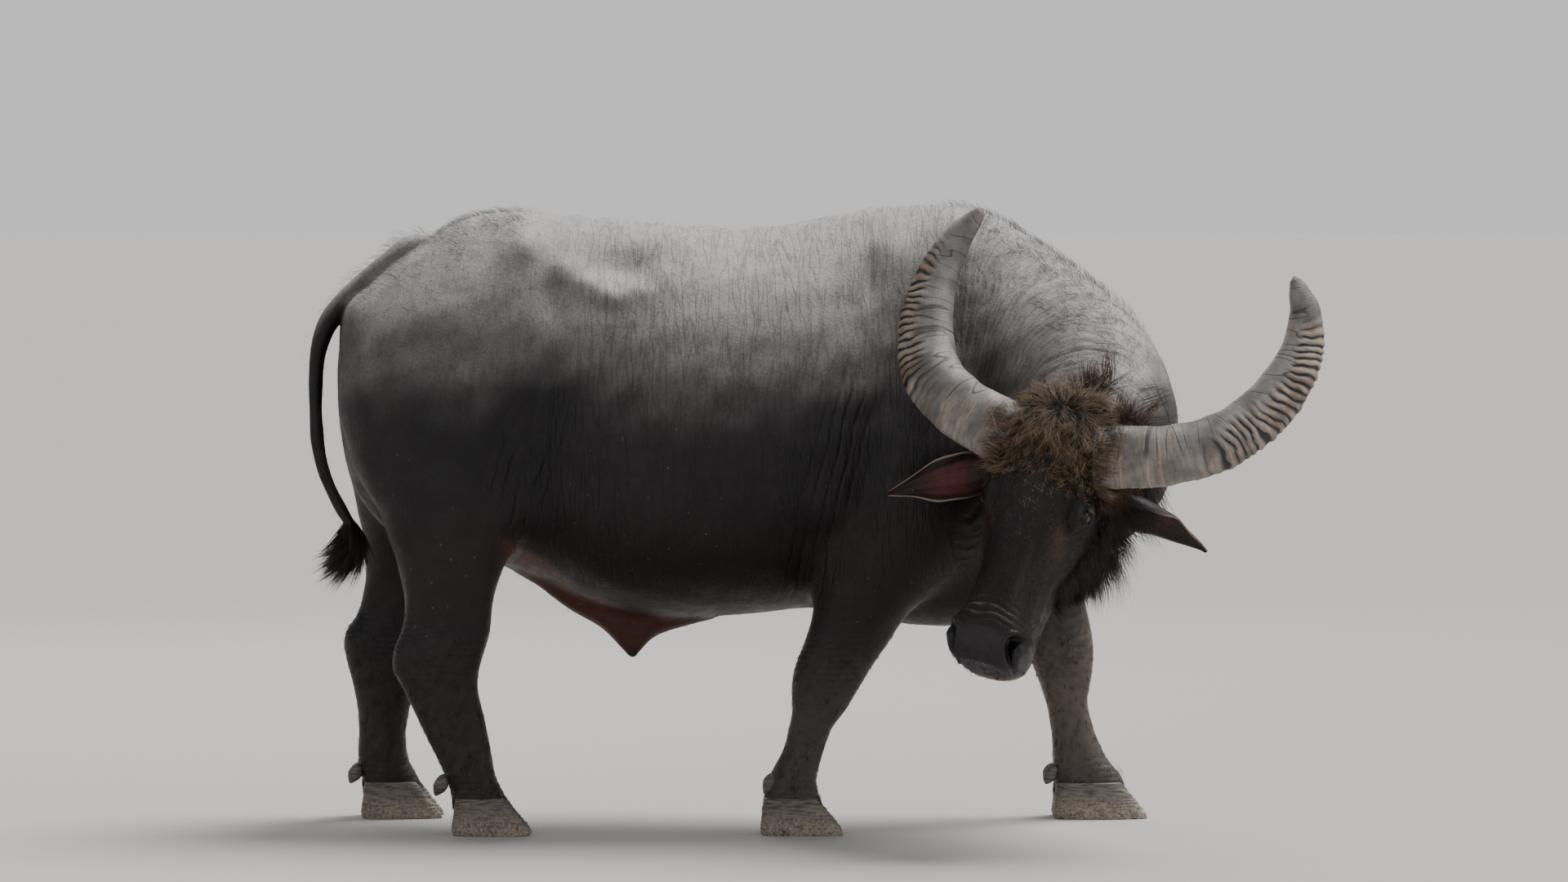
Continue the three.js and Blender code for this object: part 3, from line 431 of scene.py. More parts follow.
def course(path):
    """Directions along a path of points, from the one before to the one after."""
    return unit(np.vstack([path[1:], path[-1:]]) - np.vstack([path[:1], path[:-1]]))


def four_wide(triangles):
    """Triangles as rows of four corners, the last one -1."""
    return np.hstack([triangles, np.full((len(triangles), 1), -1)])


def walls_between(amount, count):
    """Quads between an amount of rings, each of count points."""
    ring = np.arange(amount - 1)[:, None] * count
    j = np.arange(count)
    k = (j + 1) % count
    return np.stack([ring + j, ring + k, ring + k + count, ring + j + count], axis=-1).reshape(-1, 4)


def loft(rings):
    """A closed shape through rings (ring, corner, xyz): quads between neighbours, a fan over each end.

    Faces are rows of four corners, with -1 for the last one of a triangle.
    """
    amount, count, _ = rings.shape
    j = np.arange(count)
    k = (j + 1) % count
    last = (amount - 1) * count
    first_cap = np.stack([0 * j + amount * count, k, j], axis=1)
    last_cap = np.stack([0 * j + amount * count + 1, last + j, last + k], axis=1)
    points = np.vstack([rings.reshape(-1, 3), rings[0].mean(axis=0), rings[-1].mean(axis=0)])
    faces = [walls_between(amount, count), four_wide(first_cap), four_wide(last_cap)]
    return face_out(points, np.vstack(faces))


def face_out(points, faces):
    """The shape with its faces turned outwards: the sum of signed tetrahedra is then above 0."""
    p = points[faces]
    volume = np.einsum("ij,ij->i", p[:, 0], np.cross(p[:, 1], p[:, 2])).sum()
    square = faces[:, 3] >= 0
    volume += np.einsum("ij,ij->i", p[square, 0], np.cross(p[square, 2], p[square, 3])).sum()
    if volume < 0:
        faces = np.where(square[:, None], faces[:, ::-1], faces[:, [2, 1, 0, 3]])
    return points, faces


def gather(shapes):
    """Several shapes as one."""
    offsets = np.cumsum([0] + [len(points) for points, _ in shapes[:-1]])
    faces = [np.where(faces >= 0, faces + offset, -1) for (_, faces), offset in zip(shapes, offsets)]
    return np.vstack([points for points, _ in shapes]), np.vstack(faces)


def bare_mesh(name, points, faces):
    """A Blender mesh from whole arrays of points and faces."""
    made = bpy.data.meshes.new(name)
    sizes = np.where(faces[:, 3] >= 0, 4, 3)
    corners = faces[faces >= 0]
    made.vertices.add(len(points))
    made.vertices.foreach_set("co", np.asarray(points, np.float32).ravel())
    made.loops.add(len(corners))
    made.loops.foreach_set("vertex_index", corners.astype(np.int32))
    made.polygons.add(len(faces))
    made.polygons.foreach_set("loop_start", (np.cumsum(sizes) - sizes).astype(np.int32))
    made.polygons.foreach_set("loop_total", sizes.astype(np.int32))
    made.update(calc_edges=True)
    made.validate()
    made.shade_smooth()
    return made


def add_attribute(mesh, name, values):
    """A number, vector or colour for each point."""
    values = np.asarray(values, np.float32)
    kinds = {1: ("FLOAT", "value"), 3: ("FLOAT_VECTOR", "vector"), 4: ("FLOAT_COLOR", "color")}
    kind, field = kinds[1 if values.ndim == 1 else values.shape[1]]
    mesh.attributes.new(name, kind, "POINT").data.foreach_set(field, values.ravel())


def make_piece(name, shape, material, replaces=(), attributes=None):
    """A finished piece at the origin, riding on the part's one body."""
    points, faces = shape
    mesh = bare_mesh(name, points + SHIFT, faces)
    for key, values in (attributes or {}).items():
        add_attribute(mesh, key, values)
    mesh.materials.append(material)
    piece = bpy.data.objects.new(name, mesh)
    bpy.context.scene.collection.objects.link(piece)
    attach(piece, "root")
    if replaces:
        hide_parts(*replaces)
    return piece


def trunk_shape(depth):
    """Upright sections along X: the widest line plus the outline at a turn, drawn in by the coat's depth."""
    x, top, widest, bottom, width, roof, keel = smooth_rows(TRUNK, 5).T[:, :, None]
    y, z = outline(turns(96), width - depth, top - widest - depth, widest - bottom - depth, roof, keel)
    return loft(np.stack([x + 0 * y, y, widest + z], axis=-1))


def neck_shape(depth):
    """Upright sections square to the neck's bent centre line, with the crest up."""
    x, y, z, rise, drop, width = smooth_rows(NECK, 5).T[:, :, None]
    along = course(np.hstack([x, y, 0 * x]))
    w, h = outline(turns(96), width - depth, rise - depth, drop - depth, NECK_ROUNDNESS, NECK_ROUNDNESS)
    return loft(np.stack([x - along[:, 1:2] * w, y + along[:, 0:1] * w, z + h], axis=-1))


def leg_rows(rows):
    """A leg's stations, the last ones tilted as the coronet is: height, tilt, rear, front, outer, inner."""
    fine = smooth_rows(rows, 5)
    tilt = CORONET_FALL * (1 - ease(fine[:, :1], 0.06, 0.14))
    return np.hstack([fine[:, :1], tilt, fine[:, 1:]])


def leg_shape(sign, rows, depth):
    """Level sections down a leg, ending in a slanted one over the hooves."""
    z, tilt, rear, front, outer, inner = leg_rows(rows).T[:, :, None]
    roundness = np.where(z > LEG_ROUND_ABOVE, 2, LEG_ROUNDNESS)
    half, long = (outer - inner) / 2 - depth, (front - rear) / 2 - depth
    across, along = outline(turns(64), half, long, long, roundness, roundness)
    y = sign * ((outer + inner) / 2 + across)
    return loft(np.stack([(rear + front) / 2 + along, y, z + tilt * along], axis=-1))


def skull_shape(depth):
    """Sections square to the face, from the poll to the end of the muzzle."""
    b, width, forehead, jaw, widest, front, back = smooth_rows(HEAD, 8).T[:, :, None]
    a, c = outline(turns(96), width - depth, forehead - widest - depth, widest - jaw - depth, front, back)
    return loft(in_head(np.stack([a, b + 0 * a, widest + c], axis=-1)))


def ball_shape(centre, radii, place=None):
    """An ellipsoid from its polar angle and its turn, in the head's frame if place is in_head."""
    polar = np.linspace(0.02, math.pi - 0.02, 40)[:, None]
    turn = turns(48)
    points = np.stack([np.sin(polar) * np.cos(turn), np.sin(polar) * np.sin(turn),
                       np.cos(polar) + 0 * turn], axis=-1) * np.asarray(radii) + np.asarray(centre)
    return loft(place(points) if place else points)


def tube_shape(rows, count=40):
    """A round tube of changing width along rows of x, y, z, width, in the plane of the body's middle."""
    along = course(rows[:, :3])[:, None]
    up = np.stack([-along[..., 2], 0 * along[..., 0], along[..., 0]], axis=-1)
    radius, turn = rows[:, None, 3:] / 2, turns(count)[None, :, None]
    across = np.array([0, 1.0, 0])
    return loft(rows[:, None, :3] + radius * (np.cos(turn) * up + np.sin(turn) * across))


def sheath_shape():
    """Leaf-shaped sections along X, widest a little under their top."""
    x, top, bottom, width = smooth_rows(SHEATH, 6).T[:, :, None]
    y, z = outline(turns(48), width, SHEATH_TOP + 0 * x, top - bottom - SHEATH_TOP, 2.2, 1.7)
    return loft(np.stack([x + 0 * y, y, top - SHEATH_TOP + z], axis=-1))


def remeshed(name, shape, voxel):
    """The outside of overlapping closed shapes as one even mesh of small squares."""
    holder = bpy.data.objects.new(name, bare_mesh(name, *shape))
    bpy.context.scene.collection.objects.link(holder)
    remesh = holder.modifiers.new("union", "REMESH")
    remesh.mode = "VOXEL"
    remesh.voxel_size = voxel
    graph = bpy.context.evaluated_depsgraph_get()
    made = read_mesh(holder.evaluated_get(graph).to_mesh())
    mesh = holder.data
    bpy.data.objects.remove(holder)
    bpy.data.meshes.remove(mesh)
    return made


def read_mesh(mesh):
    """Points and faces (four corners, -1 for a triangle's last) of a mesh of triangles and quads."""
    points = np.empty(len(mesh.vertices) * 3, np.float32)
    mesh.vertices.foreach_get("co", points)
    corners = np.empty(len(mesh.loops), np.int32)
    mesh.loops.foreach_get("vertex_index", corners)
    sizes = np.empty(len(mesh.polygons), np.int32)
    mesh.polygons.foreach_get("loop_total", sizes)
    starts = np.cumsum(sizes) - sizes
    faces = np.full((len(sizes), 4), -1)
    for k in range(4):
        has = sizes > k
        faces[has, k] = corners[starts[has] + k]
    return points.reshape(-1, 3).astype(float), faces


def edges_of(faces):
    """Each side of each face as a pair of points; a shared one comes twice."""
    closed = np.where(faces[:, 3:] < 0, faces[:, 2:3], faces[:, 3:])
    ring = np.hstack([faces[:, :3], closed])
    pairs = np.stack([ring, np.roll(ring, -1, axis=1)], axis=-1).reshape(-1, 2)
    return pairs[pairs[:, 0] != pairs[:, 1]]


def relax(points, faces, weight, rounds):
    """Moves each point towards the middle of its neighbours by its weight, several times over."""
    pairs = edges_of(faces)
    count = len(points)
    shared = np.bincount(pairs[:, 0], minlength=count) + np.bincount(pairs[:, 1], minlength=count)
    share = np.reshape(weight, (-1, 1))
    for _ in range(rounds):
        sums = np.stack([np.bincount(pairs[:, 0], points[pairs[:, 1], k], count)
                         + np.bincount(pairs[:, 1], points[pairs[:, 0], k], count) for k in range(3)], axis=1)
        points = points + share * (sums / shared[:, None] - points)
    return points


def normals_of(points, faces):
    """Smooth normals: the normals of the faces round each point, added by area."""
    p = points[np.where(faces < 0, faces[:, 2:3], faces)]
    face_normals = np.cross(p[:, 2] - p[:, 0], p[:, 3] - p[:, 1])
    triangle = faces[:, 3] < 0
    face_normals[triangle] = np.cross(p[triangle, 1] - p[triangle, 0], p[triangle, 2] - p[triangle, 0])
    made = np.zeros_like(points)
    for k in range(4):
        has = faces[:, k] >= 0
        for axis in range(3):
            made[:, axis] += np.bincount(faces[has, k], face_normals[has, axis], len(points))
    return unit(made)


def triangulated(faces):
    """Each face of four corners as two of three."""
    square = faces[:, 3] >= 0
    return np.vstack([faces[:, :3], faces[square][:, [0, 2, 3]]])


def thinned(shape, keep, ratio):
    """The shape with fewer faces, where keep is low first, and all triangles."""
    mesh = bare_mesh("thinned", *shape)
    holder = bpy.data.objects.new("thinned", mesh)
    bpy.context.scene.collection.objects.link(holder)
    group = holder.vertex_groups.new(name="keep")
    levels = np.clip(np.round(keep * 10), 0, 10).astype(int)
    for level in range(1, 11):
        group.add(np.flatnonzero(levels == level).tolist(), level / 10, "REPLACE")
    decimate = holder.modifiers.new("thin", "DECIMATE")
    decimate.ratio = ratio
    decimate.vertex_group = "keep"
    decimate.invert_vertex_group = True
    decimate.vertex_group_factor = 2.0
    decimate.use_collapse_triangulate = True
    graph = bpy.context.evaluated_depsgraph_get()
    points, faces = read_mesh(holder.evaluated_get(graph).to_mesh())
    bpy.data.objects.remove(holder)
    bpy.data.meshes.remove(mesh)
    return points, triangulated(faces)


# Line that the body's folds and hair are laid out along: the middle of the trunk, then of the neck.
SPINE = np.vstack([[[x, 0, 0] for x in np.linspace(-1.0, 0.25, 26)],
                   np.hstack([smooth_rows(NECK, 5)[4:, :2], np.zeros((len(NECK) * 5 - 8, 1))])])
SPINE_Z = np.concatenate([np.full(26, 0.86), smooth_rows(NECK, 5)[4:, 2]])
POINTS_AT_ONCE = 50000  # so that the table of distances stays small
SPINE_LENGTH = np.concatenate([[0], np.cumsum(np.linalg.norm(np.diff(SPINE, axis=0), axis=1))]) - 1.0


def along_spine(points):
    """For each point its length along the spine, and its turn and height about it."""
    near = np.empty(len(points), int)
    for start in range(0, len(points), POINTS_AT_ONCE):
        part = slice(start, start + POINTS_AT_ONCE)
        gaps = ((points[part, None, :2] - SPINE[None, :, :2]) ** 2).sum(axis=-1)
        near[part] = gaps.argmin(axis=1)
    ahead = course(SPINE)[near]
    offset = points - SPINE[near]
    reach = SPINE_LENGTH[near] + (offset[:, :2] * ahead[:, :2]).sum(axis=1)
    side = offset[:, 1] * ahead[:, 0] - offset[:, 0] * ahead[:, 1]
    return reach, side, points[:, 2] - SPINE_Z[near]


# Forms under the hide, on both sides: middle, reach along x, y and z, and height in millimetres.
BODY_FORMS = [
    ((-0.550, 0.150, 1.232), (0.045, 0.090, 0.040), 20),  # point of the hip
    ((-0.640, 0.080, 1.290), (0.080, 0.060, 0.050), 5),  # croup
    ((-0.335, 0.200, 1.205), (0.075, 0.120, 0.040), -24),  # hollow of the flank
    ((-0.460, 0.230, 1.192), (0.030, 0.120, 0.024), 8),  # ridge from the hip, down under the hollow
    ((-0.410, 0.230, 1.156), (0.030, 0.120, 0.022), 9),
    ((-0.358, 0.230, 1.130), (0.032, 0.120, 0.022), 10),
    ((-0.300, 0.230, 1.142), (0.032, 0.120, 0.022), 8),
    ((-0.248, 0.220, 1.178), (0.030, 0.120, 0.026), 8),  # arch of the last rib
    ((-0.205, 0.220, 1.228), (0.032, 0.120, 0.032), 7),
    ((-0.485, 0.230, 1.128), (0.034, 0.120, 0.060), -13),  # below the hip
    ((-0.505, 0.280, 0.950), (0.035, 0.120, 0.170), -11),  # before the thigh
    ((-0.583, 0.260, 0.940), (0.065, 0.150, 0.090), 9),  # swell of the thigh
    ((-0.740, 0.250, 1.045), (0.080, 0.150, 0.055), -8),  # under the rump
    ((-0.788, 0.250, 0.825), (0.070, 0.150, 0.090), -6),
    ((-0.903, 0.120, 1.100), (0.045, 0.080, 0.045), 12),  # pin bone
    ((-0.850, 0.230, 0.900), (0.022, 0.150, 0.220), -5),  # groove down the thigh
    ((-0.545, 0.280, 0.780), (0.050, 0.120, 0.080), -13),  # fold of the flank
    ((-0.560, 0.280, 0.660), (0.055, 0.100, 0.045), 9),  # stifle
    ((0.225, 0.200, 1.235), (0.040, 0.120, 0.050), 15),  # top of the shoulder blade
    ((0.183, 0.230, 1.170), (0.018, 0.150, 0.060), -10),  # crease behind it
    ((0.150, 0.230, 1.080), (0.035, 0.150, 0.120), -8),
    ((0.270, 0.260, 1.060), (0.028, 0.120, 0.150), 6),  # spine of the shoulder blade
    ((0.420, 0.280, 0.820), (0.080, 0.120, 0.080), 10),  # point of the shoulder
    ((0.100, 0.300, 0.690), (0.055, 0.100, 0.065), 13),  # elbow
    ((0.040, 0.300, 0.600), (0.030, 0.100, 0.080), -12),  # behind the elbow
    ((0.300, 0.280, 0.660), (0.070, 0.100, 0.080), 6),  # upper arm
    ((-0.050, 0.340, 0.900), (0.120, 0.150, 0.200), 4),  # barrel
]
# Forms of single legs: middle, reach and height in millimetres.
LEG_FORMS = [
    ((0.105, -0.180, 0.365), (0.035, 0.080, 0.045), 5),  # knee
    ((0.030, -0.240, 0.360), (0.020, 0.030, 0.040), -3),
    ((0.045, -0.240, 0.215), (0.014, 0.030, 0.080), -3.5),  # groove before the tendon
    ((0.010, -0.240, 0.215), (0.012, 0.030, 0.080), 2.5),
    ((0.610, 0.180, 0.350), (0.040, 0.080, 0.045), 5),
    ((0.600, 0.230, 0.210), (0.014, 0.030, 0.070), -3.5),
    ((-0.800, -0.190, 0.385), (0.022, 0.060, 0.040), 6),  # point of the hock
    ((-0.775, -0.245, 0.420), (0.018, 0.040, 0.090), -7),  # hollow before its tendon
    ((-0.715, -0.245, 0.370), (0.030, 0.040, 0.035), 4),
    ((-0.735, -0.240, 0.230), (0.013, 0.030, 0.070), -3.5),
    ((-0.930, 0.180, 0.390), (0.022, 0.060, 0.040), 6),
    ((-0.895, 0.240, 0.430), (0.018, 0.040, 0.090), -7),
    ((-0.890, 0.230, 0.220), (0.013, 0.030, 0.070), -3.5),
]
# Forms of the face in the head's frame, on both sides.
FACE_FORMS = [
    ((0.100, -0.098, 0.018), (0.022, 0.028, 0.030), 5),  # brow
    ((0.104, -0.205, -0.028), (0.030, 0.026, 0.034), -5),  # hollow under the eye
    ((0.092, -0.262, -0.050), (0.030, 0.050, 0.012), 5),  # crest of the cheek
    ((0.086, -0.330, -0.062), (0.030, 0.045, 0.012), 3),
    ((0.118, -0.130, -0.150), (0.060, 0.070, 0.065), 7),  # chewing muscle
    ((0.080, -0.250, -0.135), (0.050, 0.045, 0.040), -7),  # hollow behind the mouth
    ((0.046, -0.310, 0.030), (0.010, 0.080, 0.030), -3),  # side of the nasal bone
    ((0.076, -0.435, -0.045), (0.024, 0.036, 0.034), 7),  # swell outside the nostril
    ((0.050, -0.468, -0.085), (0.030, 0.018, 0.012), 4),  # upper lip
    ((0.046, -0.462, -0.119), (0.034, 0.026, 0.009), 4),  # lower lip
    ((0.000, -0.478, -0.140), (0.032, 0.020, 0.014), 4),  # chin
    ((0.000, -0.170, 0.060), (0.060, 0.090, 0.040), -3),  # dish of the forehead
    ((0.000, 0.020, 0.062), (0.060, 0.050, 0.040), 4),
]


def both_sides(forms, points, axis):
    """Sum of the forms at each point, in metres; one off the middle is also mirrored along the axis."""
    total = np.zeros(len(points))
    mirror = np.ones(3)
    mirror[axis] = -1
    for centre, size, height in forms:
        total += height * bell(points, centre, size)
        if centre[axis]:
            total += height * bell(points, centre * mirror, size)
    return total * MM


def nostril_field(points):
    """Distance from the middle of the nearest nostril, 1 at its rim, in the head's frame."""
    a = np.abs(points[:, 0]) - NOSTRIL_AT[0]
    b = points[:, 1] - NOSTRIL_AT[1]
    slant = math.radians(NOSTRIL_SLANT)
    across = a * math.cos(slant) - b * math.sin(slant)
    length = a * math.sin(slant) + b * math.cos(slant)
    across = across - 9 * (length - 0.010) ** 2
    far = np.sqrt((across / NOSTRIL_SIZE[0]) ** 2 + (length / NOSTRIL_SIZE[1]) ** 2)
    return np.where((points[:, 2] > -0.075) & (points[:, 1] < -0.38), far, 9.0)


def face_relief(points):
    """Height of the face's forms over its plain sections: bones, nostrils, lips and wrinkles."""
    a, b, c = points.T
    height = both_sides(FACE_FORMS, points, 0)
    nostril = nostril_field(points)
    height += 0.0050 * np.exp(-((nostril - 1.50) / 0.45) ** 2)
    height -= 0.022 * (1 - ease(nostril, 0.35, 1.10))
    muzzle = 1 - ease(b, -0.385, -0.360)
    mouth = np.exp(-((c - MOUTH_C - 0.05 * np.abs(a) + 0.02 * (b - MUZZLE_END_B)) / 0.0040) ** 2)
    height -= 0.0075 * mouth * muzzle * (1 - ease(b, -0.41, -0.37))
    pad = bell(points, (0, -0.480, -0.040), (0.050, 0.040, 0.050))
    height -= 0.003 * pad * np.exp(-((a / 0.0030) ** 2))
    bend = 0.004 * waves(points, 0.09, 3) + 0.8 * a**2
    nose = bell(points, (0, -0.408, 0.020), (0.075, 0.030, 0.060))
    height -= 0.0022 * nose * creases(b + bend, 0.015, 0.3)
    sides = bell(np.abs(points), (0.075, 0.400, 0.085), (0.030, 0.060, 0.045))
    height -= 0.0018 * sides * creases(b - 0.5 * c + bend, 0.010)
    from_eye = np.stack([a * 0, b - EYE_AT[1], c - EYE_AT[2]], axis=1)
    ring = np.linalg.norm(from_eye * [1, 1.0, 0.85], axis=1) + 0.003 * waves(points, 0.05, 5)
    near = np.exp(-((ring - 0.056) / 0.013) ** 2) * (np.abs(a) > 0.05)
    height -= 0.0022 * near * creases(ring, 0.010, 0.35)
    tear = np.hypot(a - np.sign(a) * (0.088 - 0.10 * (-0.165 - b)), 0.6 * (c + 0.01)) / 0.012
    height -= 0.0024 * np.exp(-tear**2) * bell(points * [0, 1, 0], (0, -0.215, 0), (1, 0.025, 1))
    return height


def hide_relief(points):
    """Height of the body's forms and of the folds of its hide over the plain sections."""
    height = both_sides(BODY_FORMS, points, 1)
    for centre, size, form_height in LEG_FORMS:
        height += form_height * MM * bell(points, centre, size)
    x, y, z = points.T
    reach, _, up = along_spine(points)
    in_trunk = ease(z, 0.44, 0.56)
    warp = 0.030 * waves(points, 0.45, 11) + 0.010 * waves(points, 0.14, 12)
    # deep folds square to the neck, strongest where it bends
    neck = ease(reach, 0.42, 0.62) * ease(-y, 0.02, 0.14)
    patches = 0.5 + 0.5 * waves(points, 0.22, 13)
    neck *= 1 - (1.6 * bell(points, HEAD_AT + [0.0, 0.06, -0.12], (0.24, 0.18, 0.22))).clip(0, 1)
    height -= 0.0038 * neck * patches.clip(0.1, 1) * creases(reach + 0.7 * warp, 0.046, 0.30)
    height -= 0.0016 * neck * creases(reach + 0.6 * warp, 0.019, 0.45)
    # upright folds of neck and shoulder on the straight side
    front = ease(reach, 0.22, 0.34) * (1 - ease(reach, 0.50, 0.62)) * in_trunk
    height -= 0.0020 * front * patches.clip(0, 1) * creases(reach + warp + 0.10 * up, 0.030, 0.35)
    # folds behind shoulder and elbow
    slanted = x - 0.23 * z
    elbow = np.exp(-((slanted + 0.075) / 0.060) ** 2) * in_trunk * (1 - ease(z, 0.95, 1.15))
    height -= 0.0036 * elbow * creases(slanted + 0.25 * warp, 0.024, 0.35)
    # long faint wrinkles down flank and belly
    flank = ease(reach, -0.62, -0.45) * (1 - ease(reach, 0.15, 0.25)) * in_trunk
    flank *= (1 - 0.7 * ease(z, 1.00, 1.22)) * patches.clip(0.15, 1)
    height -= 0.0016 * flank * creases(reach + 0.6 * warp, 0.0165, 0.35)
    # creases of the flank fold before the thigh
    groin = bell(points * [1, 0, 1], (-0.56, 0, 0.74), (0.070, 1, 0.16))
    height -= 0.0030 * groin * creases(x - 0.35 * z + 0.4 * warp, 0.028, 0.4)
    # level creases at the bends of the legs
    bends = 0.8 * (1 - ease(np.abs(z - 0.10), 0.02, 0.05))
    for bend_x, bend_z in ((-0.74, 0.40), (-0.87, 0.40), (0.10, 0.36), (0.61, 0.36)):
        bends += bell(points * [1, 0, 1], (bend_x, 0, bend_z), (0.10, 1, 0.07))
    height -= 0.0016 * bends.clip(0, 1) * creases(z + 0.3 * warp, 0.013, 0.5)
    height += 0.0012 * waves(points, 0.11, 14) * in_trunk
    return height


BODY_COARSER = 2.5  # how much larger the body's first squares are than the hide's
# Rounds of easing: where legs and neck leave the trunk, over the steps between squares, and at the throat.
BODY_EASING = 26
SQUARES_EASING = 5
THROAT_EASING = 60


def skin_shape(voxel):
    """The whole hide: the plain forms joined by a remesh, eased where they meet, and then given relief."""
    depth = bpy.context.scene.buffalo_hide.coat_depth
    legs = [leg_shape(sign, rows, depth) for sign, rows in LEGS.values()]
    body = [trunk_shape(depth), neck_shape(depth), sheath_shape(), ball_shape(SCROTUM_AT, SCROTUM_SIZE)]
    points, faces = remeshed("body", gather(body + legs), voxel * BODY_COARSER)
    upper = ease(points[:, 2], 0.42, 0.60)
    flap = bell(points, (-0.35, 0, 0.40), (0.30, 0.06, 0.08))
    points = relax(points, faces, 0.5 * upper * (1 - 0.9 * flap) + 0.03, BODY_EASING)
    orbits = [ball_shape(mirrored(ORBIT_AT, sign), ORBIT_SIZE, in_head) for sign in SIDES]
    fine = [skull_shape(depth), tube_shape(smooth_rows(TAIL, 6))] + orbits
    points, faces = remeshed("hide", gather([(points, faces)] + fine), voxel)
    points = relax(points, faces, 0.5, SQUARES_EASING)
    seam = bell(points, HEAD_AT + [0.03, 0.10, -0.02], (0.20, 0.11, 0.24))
    seam *= ease(points[:, 1], -0.60, -0.45)
    points = relax(points, faces, 0.5 * seam.clip(0, 1), THROAT_EASING)
    local = to_head(points)
    face = face_share(points) * ease(0.10 - local[:, 1], 0, 0.04)
    height = face * face_relief(local) + (1 - face) * hide_relief(points)
    return points + normals_of(points, faces) * height[:, None], faces


def eye_frame(sign):
    """The eye's middle, and the ways out of it, up and along its slit, in the head's frame."""
    facing = math.radians(EYE_TURN)
    out = np.array([sign * math.cos(facing), 0, math.sin(facing)])
    up = np.array([0, 1.0, 0])
    return mirrored(EYE_AT, sign), out, up, np.cross(out, up)


def eyeball_shape(sign):
    """A ball as rings round the axis out of the eye, its front 38 degrees swelling into the cornea."""
    centre, out, up, along = eye_frame(sign)
    polar = np.concatenate([np.linspace(0.01, 0.9, 40), np.linspace(0.95, math.pi - 0.02, 24)])[:, None]
    turn = turns(64)
    radius = EYE_RADIUS * (1 + 0.07 * np.exp(-((polar / 0.42) ** 2)))
    ring = np.sin(polar)[..., None] * (np.cos(turn)[:, None] * along + np.sin(turn)[:, None] * up)
    points = centre + radius[..., None] * (np.cos(polar)[..., None] * out + ring)
    return loft(in_head(points))


def lid_shape(sign):
    """Both lids as one sheet round the ball: from a rolled edge along the almond slit out into the hide.

    The first parameter runs from the edge outwards, as an angle from the eye's axis, the second round the
    eye. Returns the shape, and the first parameter for each ring.
    """
    centre, out, up, along = eye_frame(sign)
    turn = turns(120)
    share = np.linspace(0, 1, 44)[:, None]
    lift, reach = np.sin(turn), np.cos(turn)
    corner = np.abs(reach) ** 1.5
    opening = np.where(lift > 0, 0.50, 0.42) * (1 - corner) + 1.05 * corner
    angle = opening + (1.62 - opening) * share
    edge = np.exp(-share / 0.03)
    fold = 0.0012 * np.sin(share * 26 + 2.0 * lift + 0.6 * np.sin(3 * turn)) * ease(share, 0.10, 0.3)
    swell = 0.0040 * np.exp(-(((share - 0.16) / 0.13) ** 2)) * (0.65 + 0.35 * lift)
    far = EYE_RADIUS + 0.0035 + swell + fold - 0.0040 * edge - 0.011 * ease(share, 0.55, 1)
    ring = np.cos(turn)[None, :, None] * along + np.sin(turn)[None, :, None] * up
    points = centre + far[..., None] * (np.cos(angle)[..., None] * out + np.sin(angle)[..., None] * ring)
    inner = centre + (EYE_RADIUS * 0.96) * (np.cos(angle)[..., None] * out + np.sin(angle)[..., None] * ring)
    sheet = np.concatenate([inner[::-1], points])
    return ring_strip(in_head(sheet)), np.concatenate([0 * share[:, 0], share[:, 0]])


PUPIL_LONG = 0.24  # half the pupil's length and height, as shares of the eye's radius
PUPIL_HIGH = 0.11


def ring_strip(rings):
    """A tube of rings closed on itself from the last ring back to the first."""
    amount, count, _ = rings.shape
    return face_out(rings.reshape(-1, 3), walls_between(amount + 1, count) % (amount * count))


RIDGE_SPACING = 0.0175  # along the horn
FINE_RING_SPACING = 0.0068  # of the fine rings near the root


